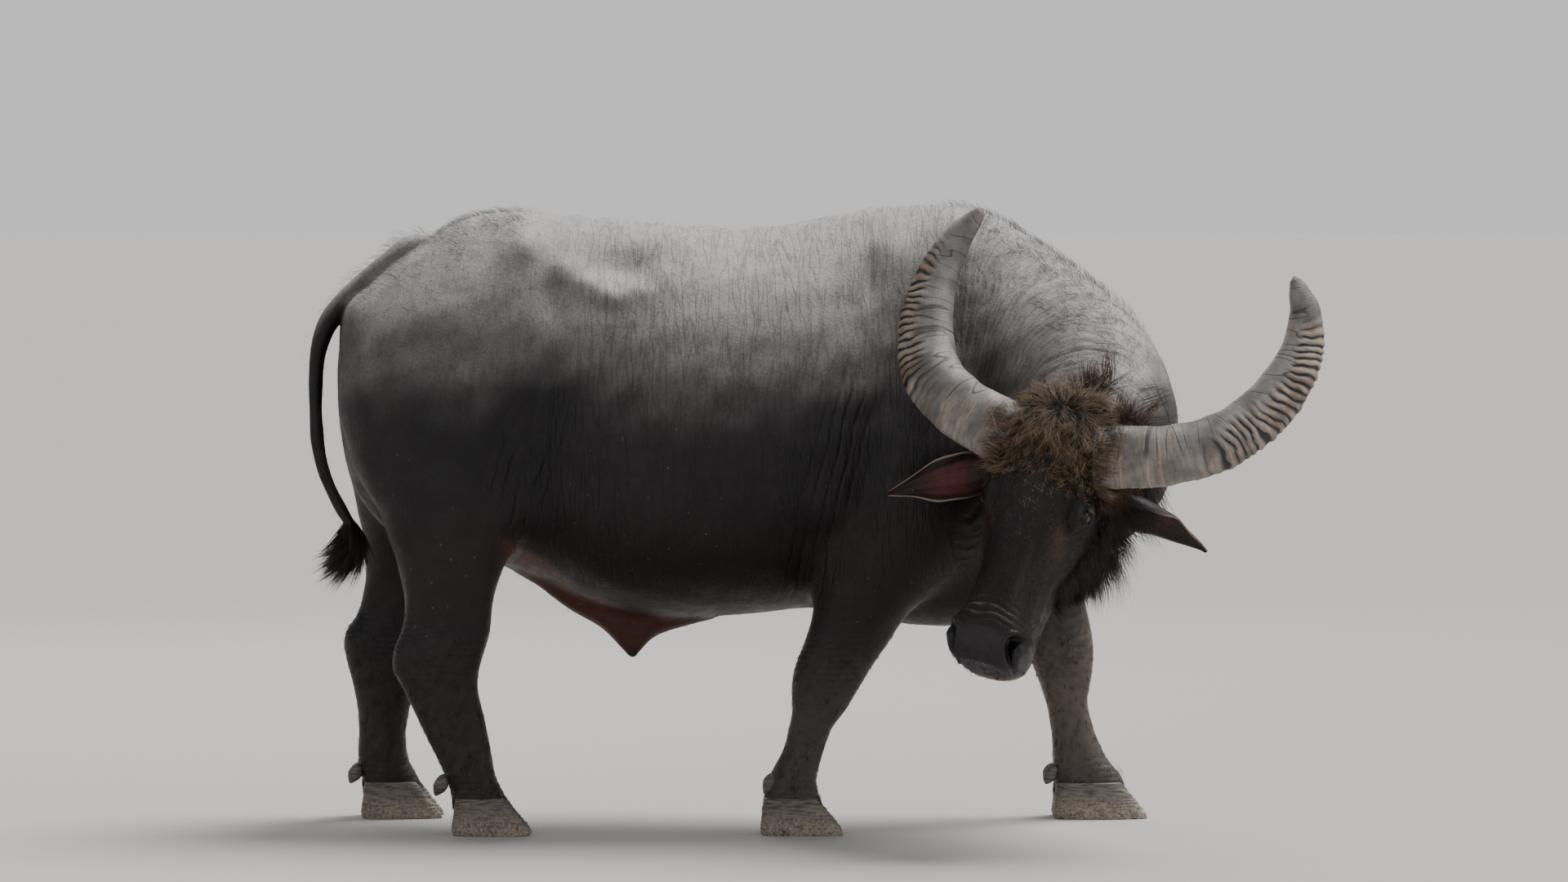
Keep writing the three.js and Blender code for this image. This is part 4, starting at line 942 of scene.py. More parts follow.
def horn_shape(sign):
    """A flattened section swept along the horn's curve, with growth ridges on its outer half.

    A ridge's height is a steep-and-slow wave of the length along the horn, fading to the inner edge, the root
    and the tip, and bent by noise so that no two ridges are alike. Returns the shape, the ridge wave, the
    length along the horn and the turn round it for each point.
    """
    rows = smooth_rows(HORN, 27)
    centres = rows[:, :3]
    along = course(centres)
    length = np.concatenate([[0], np.cumsum(np.linalg.norm(np.diff(centres, axis=0), axis=1))])[:, None]
    share = length / length[-1]
    out = unit(np.stack([along[:, 1], -along[:, 0], 0 * along[:, 0]], axis=1))
    front = np.cross(out, along)
    turn = turns(96)
    wide = rows[:, 3:4] / 2 * np.cos(turn)
    deep = rows[:, 4:5] / 2 * np.sin(turn) * (1 - HORN_EDGE * np.cos(turn))
    grid = centres[:, None] + wide[..., None] * out[:, None] + deep[..., None] * front[:, None]
    bend = waves(grid * [sign, 1, 1] + sign, 0.10, 21) * 0.006 + waves(grid + sign, 0.035, 22) * 0.0018
    outer = ease(np.cos(turn) + 0.25 * waves(grid + sign, 0.12, 24), -0.35, 0.55)
    wave = ((length + bend + 0.010 * (1 - np.cos(turn))) / RIDGE_SPACING) % 1
    ridge = np.where(wave < 0.28, ease(wave, 0, 0.28), 1 - ease(wave, 0.28, 1)) - 0.45
    strong = (ease(share, 0.26, 0.46) + 0.30 * ease(share, 0.05, 0.12)) / 1.3
    strong *= 1 - ease(share, 0.76, 0.92)
    varied = 0.75 + 0.45 * waves(grid + sign, 0.06, 23)
    height = 0.0048 * ridge * outer * strong * varied
    rings = np.sin(2 * math.pi * (length + bend) / FINE_RING_SPACING)
    height += 0.0009 * rings * (1 - ease(share, 0.10, 0.30))
    height += 0.0011 * waves(grid, 0.05, 25) * (1 - 0.6 * share)
    normal = unit(np.cos(turn)[None, :, None] * out[:, None] * rows[:, 4, None, None]
                  + np.sin(turn)[None, :, None] * front[:, None] * rows[:, 3, None, None])
    grid = grid + height[..., None] * normal
    tip = centres[-1] + along[-1] * HORN_POINT
    cap = np.stack([tip + (grid[-1] - tip) * s for s in (0.7, 0.35, 0.08)])
    grid = np.concatenate([grid, cap])

    def pad(values):
        """The values, with the last ring's again for the three rings of the point."""
        return np.concatenate([values, np.repeat(values[-1:], 3, axis=0)])

    notes = [pad(np.broadcast_to(v, height.shape)).ravel()
             for v in (ridge * outer * strong, length, np.cos(turn)[None])]
    shape = loft(in_head(grid * [sign, 1, 1]))
    return shape, [np.concatenate([v, v[:1], v[-1:]]) for v in notes]


SHADED_CUP = 0.35  # how much of its colour the inside of the left ear shows, which faces the floor


def ear_shape(sign):
    """Arcs across a leaf, rolled into a tube at the root and opening into a cup towards the tip.

    The outer and the inner face are one closed ring of points for each station. Returns the shape and, for
    each point, the share of the length, the place across from -1 to 1, and whether it is on the inner face.
    """
    ear = EARS[sign]
    start = in_head(ear["root"])
    along = unit(np.array(ear["reach"]))
    open_to = np.array(ear["open"])
    face = unit(open_to - along * (open_to @ along))
    side = np.cross(along, face)
    s = np.linspace(0, 1, 72)[:, None]
    shares = smooth_rows(EAR_LEAF, 12)[:, 0]
    leaf = np.interp(s, np.linspace(0, 1, len(shares)), shares)
    bend = EAR_ROLL_ROOT + (EAR_ROLL_TIP - EAR_ROLL_ROOT) * np.minimum(s * 1.7, 1)
    radius = EAR_WIDTH / 2 * leaf / np.sin(np.minimum(bend, math.pi / 2))
    across = np.linspace(-1, 1, 41)
    ring = np.concatenate([across, across[::-1]])[None]
    inner = np.concatenate([np.zeros(41), np.ones(41)])[None]
    rim = np.sqrt(np.maximum(1 - np.abs(ring) ** 6, 0.02))
    half = EAR_THICK * (1.3 - 0.7 * s) / 2 * rim
    wavy = 0.0022 * np.sin(9 * s * 2 + 3 * ring) * np.abs(ring) ** 2 * ease(s, 0.2, 0.5)
    veins = 0.0008 * np.sin(5 * ring * math.pi + 4 * s) * (1 - ring**2) * (1 - 2 * inner)
    reach = radius + np.where(inner > 0, -half, half) + wavy + veins
    reach = np.maximum(reach, 0.0006)
    turn = bend * ring
    axis = start + along * EAR_LENGTH * s + face * (radius - EAR_SINK)
    axis[:, 2:] -= EAR_DROOP * s * s
    grid = axis[:, None] - face * (reach * np.cos(turn))[..., None] + side * (reach * np.sin(turn))[..., None]
    notes = [np.broadcast_to(v, reach.shape).ravel() for v in (s, ring, inner)]
    return loft(grid), [np.concatenate([v, v[:1], v[-1:]]) for v in notes]


def claw_shape(rows, sign, outward):
    """One claw on a flat sole: level sections from heel to toe that widen downwards, with growth rings."""
    last = rows[-1]
    rear, front, outer, inner = last[1:]
    width = (outer - inner - CLAW_SPLIT) / 2
    middle = sign * (outer + inner) / 2 + outward * (width + CLAW_SPLIT) / 2
    z = np.concatenate([[0.0, 0.0015, 0.004], np.linspace(0.008, 0.078, 44)])[:, None]
    share, inset = [np.interp(z, CLAW_LEVELS[:, 0], CLAW_LEVELS[:, k]) for k in (1, 2)]
    inset = inset + 0.0035 * np.exp(-z / 0.0015)
    heel, toe = rear + CLAW_INSET, front - CLAW_INSET
    back = heel - HEEL_SLOPE * (CORONET_HEIGHT - z) + inset
    ahead = toe + TOE_SLOPE * (CORONET_HEIGHT - z) - inset
    widest = back + (ahead - back) * CLAW_WIDEST
    turn = turns(60)
    up = np.sin(turn)
    across = width / 2 * share * lean(np.cos(turn), np.where(up > 0, 2.0, 3.0))
    along = np.where(up > 0, ahead - widest, widest - back) * lean(up, np.where(up > 0, 2.0, 3.0))
    across = across * np.where(outward * across < 0, CLAW_INSIDE, 1)
    grid = np.stack([widest + along, across, z + 0 * along], axis=-1)
    rings = np.sin(2 * math.pi * (z + 0.15 * along + 0.004 * waves(grid + outward, 0.05, 31)) / 0.0075)
    swell = 1 + (0.012 * rings + 0.010 * waves(grid + outward, 0.03, 32)) * ease(z, 0.004, 0.02)
    grid[..., 1] *= swell
    grid[..., 0] = widest + along * swell
    angle = outward * math.radians(CLAW_SPREAD)
    x = grid[..., 0] - heel
    turned = np.stack([heel + x * math.cos(angle) - grid[..., 1] * math.sin(angle),
                       middle + x * math.sin(angle) + grid[..., 1] * math.cos(angle), grid[..., 2]], axis=-1)
    return loft(turned)


def dewclaw_shape(rows, sign, outward):
    """A small blunt cone of horn behind the fetlock: an ellipsoid whose lower end is drawn to a point."""
    _, _, _, outer, inner = rows[-1]
    fetlock = rows[-3]
    polar = np.linspace(0.02, math.pi - 0.02, 40)[:, None]
    turn = turns(40)
    slim = 1 - 0.35 * ease(-np.cos(polar), 0, 1)
    ridged = 1 + 0.03 * np.sin(np.cos(polar) * 26)
    local = np.stack([1.15 * slim * ridged * np.sin(polar) * np.cos(turn) * DEWCLAW_WIDTH / 2,
                      0.9 * slim * ridged * np.sin(polar) * np.sin(turn) * DEWCLAW_WIDTH / 2,
                      (np.cos(polar) + 0 * turn) * DEWCLAW_LENGTH / 2], axis=-1)
    middle = sign * (outer + inner) / 2
    centre = [fetlock[1] - 0.002, middle + outward * DEWCLAW_APART, fetlock[0] - DEWCLAW_DROP]
    return loft(local @ turn_about(1, DEWCLAW_LEAN).T + centre)


def skin_surface():
    """Points, triangles, their middles, normals and areas of the finished hide, in the tables' frame."""
    shapes = []
    for piece in bpy.data.objects:
        if piece.name.startswith("hide_"):
            points, faces = read_mesh(piece.data)
            shapes.append((points - SHIFT, faces))
    points, faces = gather(shapes)
    corners = points[faces[:, :3]]
    cross = np.cross(corners[:, 1] - corners[:, 0], corners[:, 2] - corners[:, 0])
    return {"corners": corners, "middles": corners.mean(axis=1), "normals": unit(cross),
            "areas": np.linalg.norm(cross, axis=1) / 2}


def scatter(surface, density, count, rng):
    """Random points on the triangles, drawn by area times density, with their normals."""
    weight = surface["areas"] * density
    picked = rng.choice(len(weight), count, p=weight / weight.sum())
    shares = rng.dirichlet([1, 1, 1], count)
    return (surface["corners"][picked] * shares[..., None]).sum(axis=1), surface["normals"][picked]


def along_skin(ways, normals):
    """Directions laid into the skin."""
    return unit(ways - normals * (ways * normals).sum(axis=1, keepdims=True))


# What a tuft has where its style doesn't say otherwise.
PLAIN_TUFT = dict(curl=0.02, coils=0.5, hang=0.0, clump=0.0, stand=0.0, scale=1.0)
SHORT_HAIR = 0.025  # a shorter hair bends in 3 straight lengths, a longer one in 4, or in 5 if it curls
SUNK_ROOT = 0.003  # how far a hair starts under the hide
PATCH = 0.003  # side of a tuft's patch on the map


def tufts(roots, normals, lie, style, rng):
    """Hair as thin three-sided spikes in tufts.

    A tuft's middle leaves its root outwards and bends over along its lie. For s from 0 to 1 it is root +
    length * (lie * s * (1 - 0.45 * rise * (1 - s)) + normal * (stand * s + rise * s * (1.15 - s)) + curl),
    less hang * length * s * s in height, where the curl is a wave to the side and outwards. Its hairs start
    round the root and close in on that middle towards the tip. Returns the shape, and for each point its
    share along the hair, a random tint, the tuft it belongs to and its place on a small patch.
    """
    style = {**PLAIN_TUFT, **style}
    count, hairs = len(roots), style["hairs"]
    straights = 3 if style["length"] < SHORT_HAIR else 4 if style["curl"] < 0.1 else 5
    levels = np.linspace(0, 1, straights + 1) ** 1.1
    length = (style["length"] * style["scale"] * rng.uniform(0.6, 1.25, count))[:, None, None]
    across = np.cross(normals, lie)
    lie = unit(lie + across * rng.normal(0, style["stray"], (count, 1)))
    lie = along_skin(lie, normals)
    across = np.cross(normals, lie)
    s = levels[None, :, None]
    rise = style["rise"] * rng.uniform(0.6, 1.4, (count, 1, 1))
    phase = rng.uniform(0, 2 * math.pi, (count, 1, 1))
    curl = style["curl"] * rng.uniform(0.4, 1.2, (count, 1, 1)) * s
    phase = 2 * math.pi * style["coils"] * s + phase
    swing = curl * np.sin(phase)
    lift = style["stand"] * s + rise * s * (1.15 - s) + curl * (0.6 * np.cos(phase) + 0.5)
    middle = roots[:, None] + length * (lie[:, None] * s * (1 - 0.45 * rise * (1 - s))
                                        + across[:, None] * swing + normals[:, None] * lift)
    middle[:, :, 2] -= (style["hang"] * length[:, :, 0]) * levels**2
    # hairs round the tuft's middle
    spread = style["spread"] * np.sqrt(rng.uniform(0, 1, (count, hairs, 1)))
    around = rng.uniform(0, 2 * math.pi, (count, hairs, 1))
    offset = spread * (np.cos(around) * lie[:, None] + np.sin(around) * across[:, None])
    short = rng.uniform(0.62, 1.0, (count, hairs, 1, 1))
    closing = 1 - style["clump"] * s[:, None] ** 0.7
    path = roots[:, None, None] + (middle - roots[:, None])[:, None] * short + offset[:, :, None] * closing
    path = path + rng.normal(0, style["frizz"], (count, hairs, 1, 3)) * s[:, None] * length[:, None]
    path[:, :, 0] -= normals[:, None] * SUNK_ROOT
    path = path.reshape(count * hairs, len(levels), 3)
    ahead = unit(np.concatenate([path[:, 1:2] - path[:, :1], path[:, 2:] - path[:, :-2],
                                 path[:, -1:] - path[:, -2:-1]], axis=1))
    normal = np.repeat(normals, hairs, axis=0)[:, None]
    beside = unit(np.cross(ahead, normal))
    over = np.cross(beside, ahead)
    radius = style["width"] / 2 * (1 - 0.6 * (levels[:-1] - 0.25) ** 2 / 0.3)[None, :, None]
    rings = [path[:, :-1] + radius * (math.cos(a) * beside[:, :-1] + math.sin(a) * over[:, :-1] * 0.6)
             for a in (-math.pi / 6, math.pi / 2, math.pi * 7 / 6)]
    amount, rows = len(path), len(levels) - 1
    body = np.stack(rings, axis=2).reshape(amount, rows * 3, 3)
    points = np.concatenate([body, path[:, -1:]], axis=1).reshape(-1, 3)
    each = rows * 3 + 1
    tip = (rows - 1) * 3 + np.array([[0, 1, 3], [1, 2, 3], [2, 0, 3]])
    pattern = np.vstack([walls_between(rows, 3), four_wide(tip), [[2, 1, 0, -1]]])
    start = (np.arange(amount) * each)[:, None, None]
    faces = np.where(pattern[None] >= 0, pattern[None] + start, -1).reshape(-1, 4)
    share = np.concatenate([np.repeat(levels[:-1], 3), [1.0]])
    place = np.concatenate([np.tile([-0.5, 0, 0.5], rows), [0.0]])
    tint = np.repeat(rng.uniform(0, 1, count), hairs) * 0.6 + rng.uniform(0, 1, amount) * 0.4
    return (points, faces), {
        "share": np.tile(share, amount), "tint": np.repeat(tint, each),
        "tuft": np.repeat(np.repeat(np.arange(count), hairs), each), "place": np.tile(place, amount)}


def coat_piece(name, roots, normals, lie, style, unwrap, material, rng, replaces=()):
    """One piece of the coat, with its map OFBake: each tuft is a patch at its root's place on an unwrap."""
    shape, notes = tufts(roots, normals, lie, style, rng)
    shades = {key: notes[key] for key in ("share", "tint")}
    piece = make_piece(name, shape, material, replaces, shades)
    at = 0.004 + 0.992 * np.clip(unwrap(roots), 0, 1)[notes["tuft"]]
    at += PATCH * np.stack([notes["place"], notes["share"] - 0.5], axis=1)
    corners = np.empty(len(piece.data.loops), np.int32)
    piece.data.loops.foreach_get("vertex_index", corners)
    layer = piece.data.uv_layers.new(name="OFBake")
    layer.data.foreach_set("uv", at[corners].astype(np.float32).ravel())
    return piece


def horn_root_points(sign, count, rng):
    """Random points round the first stations of a horn, with their outward directions."""
    start = smooth_rows(HORN, 27)[rng.integers(0, 16, count)] * [sign, 1, 1, 1, 1]
    turn = rng.uniform(0, 2 * math.pi, count)
    ring = np.stack([0 * turn, np.cos(turn), np.sin(turn)], axis=1)
    roots = in_head(start[:, :3] + ring * start[:, [3, 3, 4]] / 2)
    return roots, unit(ring * start[:, [4, 4, 3]]) @ HEAD_TURN.T


def linear(colour):
    """An sRGB hex value as the linear colour that shaders take."""
    shares = [int(colour[i:i + 2], 16) / 255 for i in (1, 3, 5)]
    return tuple(c / 12.92 if c <= 0.04045 else ((c + 0.055) / 1.055) ** 2.4 for c in shares)


# Settings that all nodes of a kind have here.
USUAL = {"MapRange": {"interpolation_type": "SMOOTHSTEP"}, "Mix": {"data_type": "RGBA"}}


def node(tree, kind, inputs=(), **settings):
    """Adds a node with its settings, sets or links its inputs by place or by name, and gives its outputs."""
    made = tree.nodes.new("ShaderNode" + kind)
    for key, value in {**USUAL.get(kind, {}), **settings}.items():
        setattr(made, key, value)
    for key, value in inputs.items() if isinstance(inputs, dict) else enumerate(inputs):
        socket = made.inputs[key]
        if isinstance(value, bpy.types.NodeSocket):
            tree.links.new(value, socket)
        elif socket.type == "RGBA":
            socket.default_value = (*value, 1.0)
        else:
            socket.default_value = value
    return made.outputs


# Settings that many sums share. SCALED is a first number times a second, plus a third.
MINUS = {"operation": "SUBTRACT"}
TIMES = {"operation": "MULTIPLY"}
SCALED = {"operation": "MULTIPLY_ADD"}
WITHOUT_SIGN = {"operation": "ABSOLUTE"}


def new_material(name, **constants):
    """A material, its shader with the constants set on its own sockets, and what adds nodes to its tree."""
    made = bpy.data.materials.new(name)
    made.use_nodes = True
    shader = made.node_tree.nodes["Principled BSDF"]
    for key, value in constants.items():
        shader.inputs[key.replace("_", " ").title().replace("Ior", "IOR")].default_value = value
    return made, shader, partial(node, made.node_tree)


def finish_material(made, shader, add, base, rough=None, height=None, strength=0.8):
    """Links the worked-out colour, roughness and relief to the shader."""
    links = made.node_tree.links
    links.new(base, shader.inputs["Base Color"])
    if rough:
        links.new(rough, shader.inputs["Roughness"])
    if height:
        bump = add("Bump", {"Height": height, "Strength": strength, "Distance": 1.0})
        links.new(bump["Normal"], shader.inputs["Normal"])
    return made


def hide_material(colours):
    """Thick, nearly bare buffalo hide: black-brown, grained and wrinkled, dull, and pale on top from a
    dusting and a painted top light.

    The relief runs from a soft pitting of 30 mm down to a grain of 5 mm. The real grain of 1 mm would not
    show, so it is drawn coarser. The fine wrinkles, about 17 mm apart so that they show, follow the
    attribute "folds", which is laid along the body, and their creases carry painted shade.
    """
    made, shader, add = new_material("buffalo hide", ior=1.45, specular_ior_level=0.28)
    place = add("TexCoord")["Object"]
    folds = add("Attribute", attribute_name="folds")["Vector"]
    markings_and_painted_shading = add("Attribute", attribute_name="markings_and_painted_shading")
    wet, wrinkled, dust_and_top_light_share = add("SeparateXYZ", [add("Attribute", attribute_name="zones")["Vector"]])
    blotches, mottle, grain = [
        add("TexNoise", {"Vector": place, "Scale": 1 / (size * MM), "Detail": detail, "Roughness": rough})[0]
        for size, detail, rough in ((220, 4, 0.55), (30, 5, 0.65), (5, 3, 0.6))]
    pores, spots = [add("TexVoronoi", {"Vector": place, "Scale": 1 / (size * MM)}, feature="F1")["Distance"]
                    for size in (4.5, 24)]
    laid = add("Mapping", {"Vector": folds, "Scale": (1 / (17 * MM), 1 / (130 * MM), 1 / (130 * MM))})[0]
    fine = add("TexNoise", {"Vector": laid, "Scale": 1.0, "Detail": 1.5, "Roughness": 0.5,
                            "Distortion": 0.5})[0]
    from_line = add("Math", [add("Math", [fine, 0.5], **MINUS)[0]], **WITHOUT_SIGN)[0]
    line = add("MapRange", [from_line, 0.0, 0.075, 1.0, 0.0])[0]
    lines = add("Math", [line, wrinkled], **TIMES)[0]
    # Dust and painted top light: a pale cover on the upper faces that stands for both a dusting and the light
    # from above.
    dust_and_top_light = add("Math", [dust_and_top_light_share, add("MapRange", [mottle, 0.20, 0.60, 0.65, 1.0])[0]], **TIMES)[0]
    dust_and_top_light = add("Math", [dust_and_top_light, add("MapRange", [grain, 0.30, 0.65, 0.70, 1.0])[0]], **TIMES)[0]
    speck = add("Math", [add("MapRange", [spots, 0.10, 0.06])[0],
                         add("MapRange", [blotches, 0.50, 0.60])[0]], **TIMES)[0]
    base = add("Mix", {0: add("MapRange", [blotches, 0.35, 0.68])[0],
                       6: colours.dark, 7: colours.light})[2]
    for cover, colour in (
            (add("MapRange", [mottle, 0.42, 0.75, 0.0, 0.45])[0], colours.brown),
            # Real marks of the skin, together with painted shade under the body and in the nostrils and
            # painted light on the far foreleg.
            (markings_and_painted_shading["Alpha"], markings_and_painted_shading["Color"]),
            (add("Math", [dust_and_top_light, 0.95], operation="MINIMUM")[0], colours.dust_and_top_light),
            (add("Math", [speck, 0.35], **TIMES)[0], linear("#8c8069")),
            # Painted shade: the fine wrinkles darkened along their creases.
            (add("Math", [lines, 0.45], **TIMES)[0], linear("#0c0b0b"))):
        base = add("Mix", {0: cover, 6: base, 7: colour})[2]
    rough = add("MapRange", [mottle, 0.3, 0.7, 0.42, 0.56])[0]
    for part, amount in ((dust_and_top_light, 0.25), (wet, -0.26)):
        rough = add("Math", [part, amount, rough], **SCALED)[0]
    height = add("Math", [grain, 0.9 * MM], **TIMES)[0]
    for part, amount in ((pores, 0.6), (mottle, 1.2), (lines, -1.7)):
        height = add("Math", [part, amount * MM, height], **SCALED)[0]
    return finish_material(made, shader, add, base, rough, height, 0.9)


def horn_material(colours):
    """Horn keratin: grey-brown and dull, its ridges worn to cream and orange-brown, cracked across.

    Fibres of 3 mm run along the horn. Flakes, pale bands near the root and cracks lie across it.
    """
    made, shader, add = new_material("horn keratin", ior=1.54)
    place = add("TexCoord")["Object"]
    ridge, length, outer = add("SeparateXYZ", [add("Attribute", attribute_name="growth")["Vector"]])
    laid = add("Attribute", attribute_name="fibres")["Vector"]
    blotches = add("TexNoise", {"Vector": place, "Scale": 1 / (60 * MM), "Detail": 4, "Roughness": 0.55})[0]
    patterns = []
    for wide, long, detail, uneven in ((3, 60, 4, 0.65), (20, 3.5, 4, 0.7), (40, 5.5, 2, 0.6),
                                       (300, 55, 1, 0.55)):
        sized = add("Mapping", {"Vector": laid, "Scale": (1 / (wide * MM), 1 / (long * MM), 1)})[0]
        patterns.append(add("TexNoise", {"Vector": sized, "Scale": 1.0, "Detail": detail,
                                         "Roughness": uneven})[0])
    fibres, flakes, bands, across = patterns
    worn = add("Math", [add("MapRange", [ridge, 0.02, 0.42])[0],
                        add("MapRange", [flakes, 0.38, 0.60])[0]], **TIMES)[0]
    bands = add("Math", [add("MapRange", [bands, 0.56, 0.64])[0],
                         add("MapRange", [length, 0.26, 0.10, 0.0, 0.60])[0]], **TIMES)[0]
    worn = add("Math", [worn, bands], operation="MAXIMUM")[0]
    rust = add("Mix", {0: add("MapRange", [blotches, 0.42, 0.60])[0],
                       6: colours.worn, 7: colours.rust})[2]
    from_crack = add("Math", [add("Math", [across, 0.5], **MINUS)[0]], **WITHOUT_SIGN)[0]
    cracks = add("Math", [add("MapRange", [from_crack, 0.014, 0.004])[0],
                          add("MapRange", [outer, 0.6, 0.0])[0]], **TIMES)[0]
    base = add("Mix", {0: add("MapRange", [blotches, 0.35, 0.65])[0],
                       6: colours.horn, 7: colours.horn_dark})[2]
    for cover, colour in (
            (add("MapRange", [fibres, 0.40, 0.65, 0.0, 0.5])[0], linear("#6b655f")),
            (worn, rust),
            (add("MapRange", [ridge, 0.0, -0.30])[0], linear("#0e0c0b")),
            (add("Math", [cracks, 0.7], **TIMES)[0], linear("#1a1816"))):
        base = add("Mix", {0: cover, 6: base, 7: colour})[2]
    rough = add("MapRange", [fibres, 0.3, 0.7, 0.42, 0.60])[0]
    height = add("Math", [flakes, 1.4 * MM], **TIMES)[0]
    for part, amount in ((fibres, 0.6), (cracks, -0.8)):
        height = add("Math", [part, amount * MM, height], **SCALED)[0]
    return finish_material(made, shader, add, base, rough, height)


def hoof_material(colours):
    """Hoof keratin: black-brown, scuffed and gritty, with growth lines 3.5 mm apart and earth at its foot."""
    made, shader, add = new_material("hoof keratin", ior=1.54)
    place = add("TexCoord")["Object"]
    up = add("SeparateXYZ", [place])[2]
    laid = add("Mapping", {"Vector": place, "Scale": (1 / (30 * MM), 1 / (30 * MM), 1 / (3.5 * MM))})[0]
    streaks = add("TexNoise", {"Vector": laid, "Scale": 1.0, "Detail": 3, "Roughness": 0.55})[0]
    grit = add("TexNoise", {"Vector": place, "Scale": 1 / (6 * MM), "Detail": 4, "Roughness": 0.7})[0]
    dirt = add("Math", [add("MapRange", [up, 0.075, 0.0])[0],
                        add("MapRange", [grit, 0.35, 0.65])[0]], **TIMES)[0]
    base = add("Mix", {0: add("MapRange", [streaks, 0.4, 0.65])[0],
                       6: colours.hoof, 7: linear("#3d3733")})[2]
    base = add("Mix", {0: dirt, 6: base, 7: colours.earth})[2]
    rough = add("MapRange", [grit, 0.3, 0.7, 0.45, 0.75])[0]
    height = add("Math", [streaks, 1.2 * MM], **TIMES)[0]
    height = add("Math", [grit, 0.8 * MM, height], **SCALED)[0]
    return finish_material(made, shader, add, base, rough, height)


def eye_material(colours):
    """A living eye: dark brown iris with a level oval pupil, brown-grey white, all under a clear wet film."""
    made, shader, add = new_material("wet eye", ior=1.376, roughness=0.10, specular_ior_level=0.4,
                                     coat_weight=0.2, coat_roughness=0.02)
    polar, pupil, turn = add("SeparateXYZ", [add("Attribute", attribute_name="iris")["Vector"]])
    spokes_at = add("CombineXYZ", [add("Math", [turn, 9.0], **TIMES)[0], polar])[0]
    spokes = add("TexNoise", {"Vector": spokes_at, "Scale": 1 / 0.6, "Detail": 3, "Roughness": 0.55})[0]
    base = add("Mix", {0: add("MapRange", [spokes, 0.35, 0.7])[0],
                       6: colours.iris, 7: linear("#24170e")})[2]
    for share, low, high, colour in ((pupil, 1.1, 0.9, "#040303"), (polar, 0.60, 0.70, "#1d1512")):
        cover = add("MapRange", [share, low, high])[0]
        base = add("Mix", {0: cover, 6: base, 7: linear(colour)})[2]
    return finish_material(made, shader, add, base)


def hair_material(name, root, tip, strong=1.0):
    """Coarse hair, dark at its root and bleached towards its tip, in slightly different tints."""
    made, shader, add = new_material(name, ior=1.55, roughness=0.55)
    share, tint = [add("Attribute", attribute_name=key)["Fac"] for key in ("share", "tint")]
    reach = add("Math", [tint, 0.55, add("Math", [share, 0.75], **TIMES)[0]], **SCALED)[0]
    base = add("Mix", {0: add("MapRange", [reach, 0.35, 1.15, 0.0, strong])[0], 6: root, 7: tip})[2]
    shade = add("MapRange", [tint, 0.20, 0.60, 0.85, 0.0])[0]
    base = add("Mix", {0: shade, 6: base, 7: linear("#0b0908")})[2]
    return finish_material(made, shader, add, base)


def head_unwrap(points):
    """Turn round the head's long axis, and the height along it."""
    a, b, c = to_head(points).T
    return np.stack([np.arctan2(a, c + 0.08) / (2 * math.pi) + 0.5, (b + 0.52) / 0.72], axis=1)


def body_unwrap(points):
    """Length along the spine, and the turn about it."""
    reach, side, up = along_spine(points)
    return np.stack([(reach + 1.05) / 2.2, np.arctan2(side, up) / (2 * math.pi) + 0.5], axis=1)


def leg_unwrap(points):
    """A quarter of the map for each leg: the turn round the leg, and the height."""
    fore, left = points[:, 0] > -0.2, points[:, 1] > 0
    middle = np.where(fore, np.where(left, 0.60, 0.08), np.where(left, -0.86, -0.72))
    turn = np.arctan2(points[:, 1] - np.where(left, 0.185, -0.185), points[:, 0] - middle)
    quarter = fore * 2 + left
    return np.stack([(quarter + turn / (2 * math.pi) + 0.5) / 4, points[:, 2] / 1.2], axis=1)


def tail_unwrap(points):
    """The turn round the tail's brush, and the height."""
    return np.stack([np.arctan2(points[:, 1], points[:, 0] + 0.93) / (2 * math.pi) + 0.5,
                     (points[:, 2] - 0.5) / 0.2], axis=1)


HIDE_TRIANGLES = 400000  # of all three parts of the hide
DUST_AND_LIGHT_SMOOTHING = 14  # rounds that ease the normals which lay the pale dusting and the painted top light
HEAD_PART_Y = -0.30  # where the head's part of the hide ends
FRONT_PART_X = -0.12  # where the front part ends


def layered(count, layers):
    """Colours laid one over the other at each point, and in the fourth place how far they cover."""
    made = np.zeros((count, 4))
    for colour, cover in layers:
        shade = np.array(linear(colour) if isinstance(colour, str) else tuple(colour))
        cover = np.broadcast_to(np.clip(cover, 0, 1), count)[:, None]
        under = made[:, 3:] * (1 - cover)
        made[:, :3] = (shade * cover + made[:, :3] * under) / np.maximum(cover + under, 1e-6)
        made[:, 3:] = cover + under
    return made


# Where the reddish skin of the flap ends on the belly: x, and the height of its edge.
FLAP_EDGE = np.array([
    [-0.620, 0.650], [-0.553, 0.605], [-0.484, 0.565], [-0.435, 0.508], [-0.311, 0.458], [-0.188, 0.440],
    [0.000, 0.420],
])


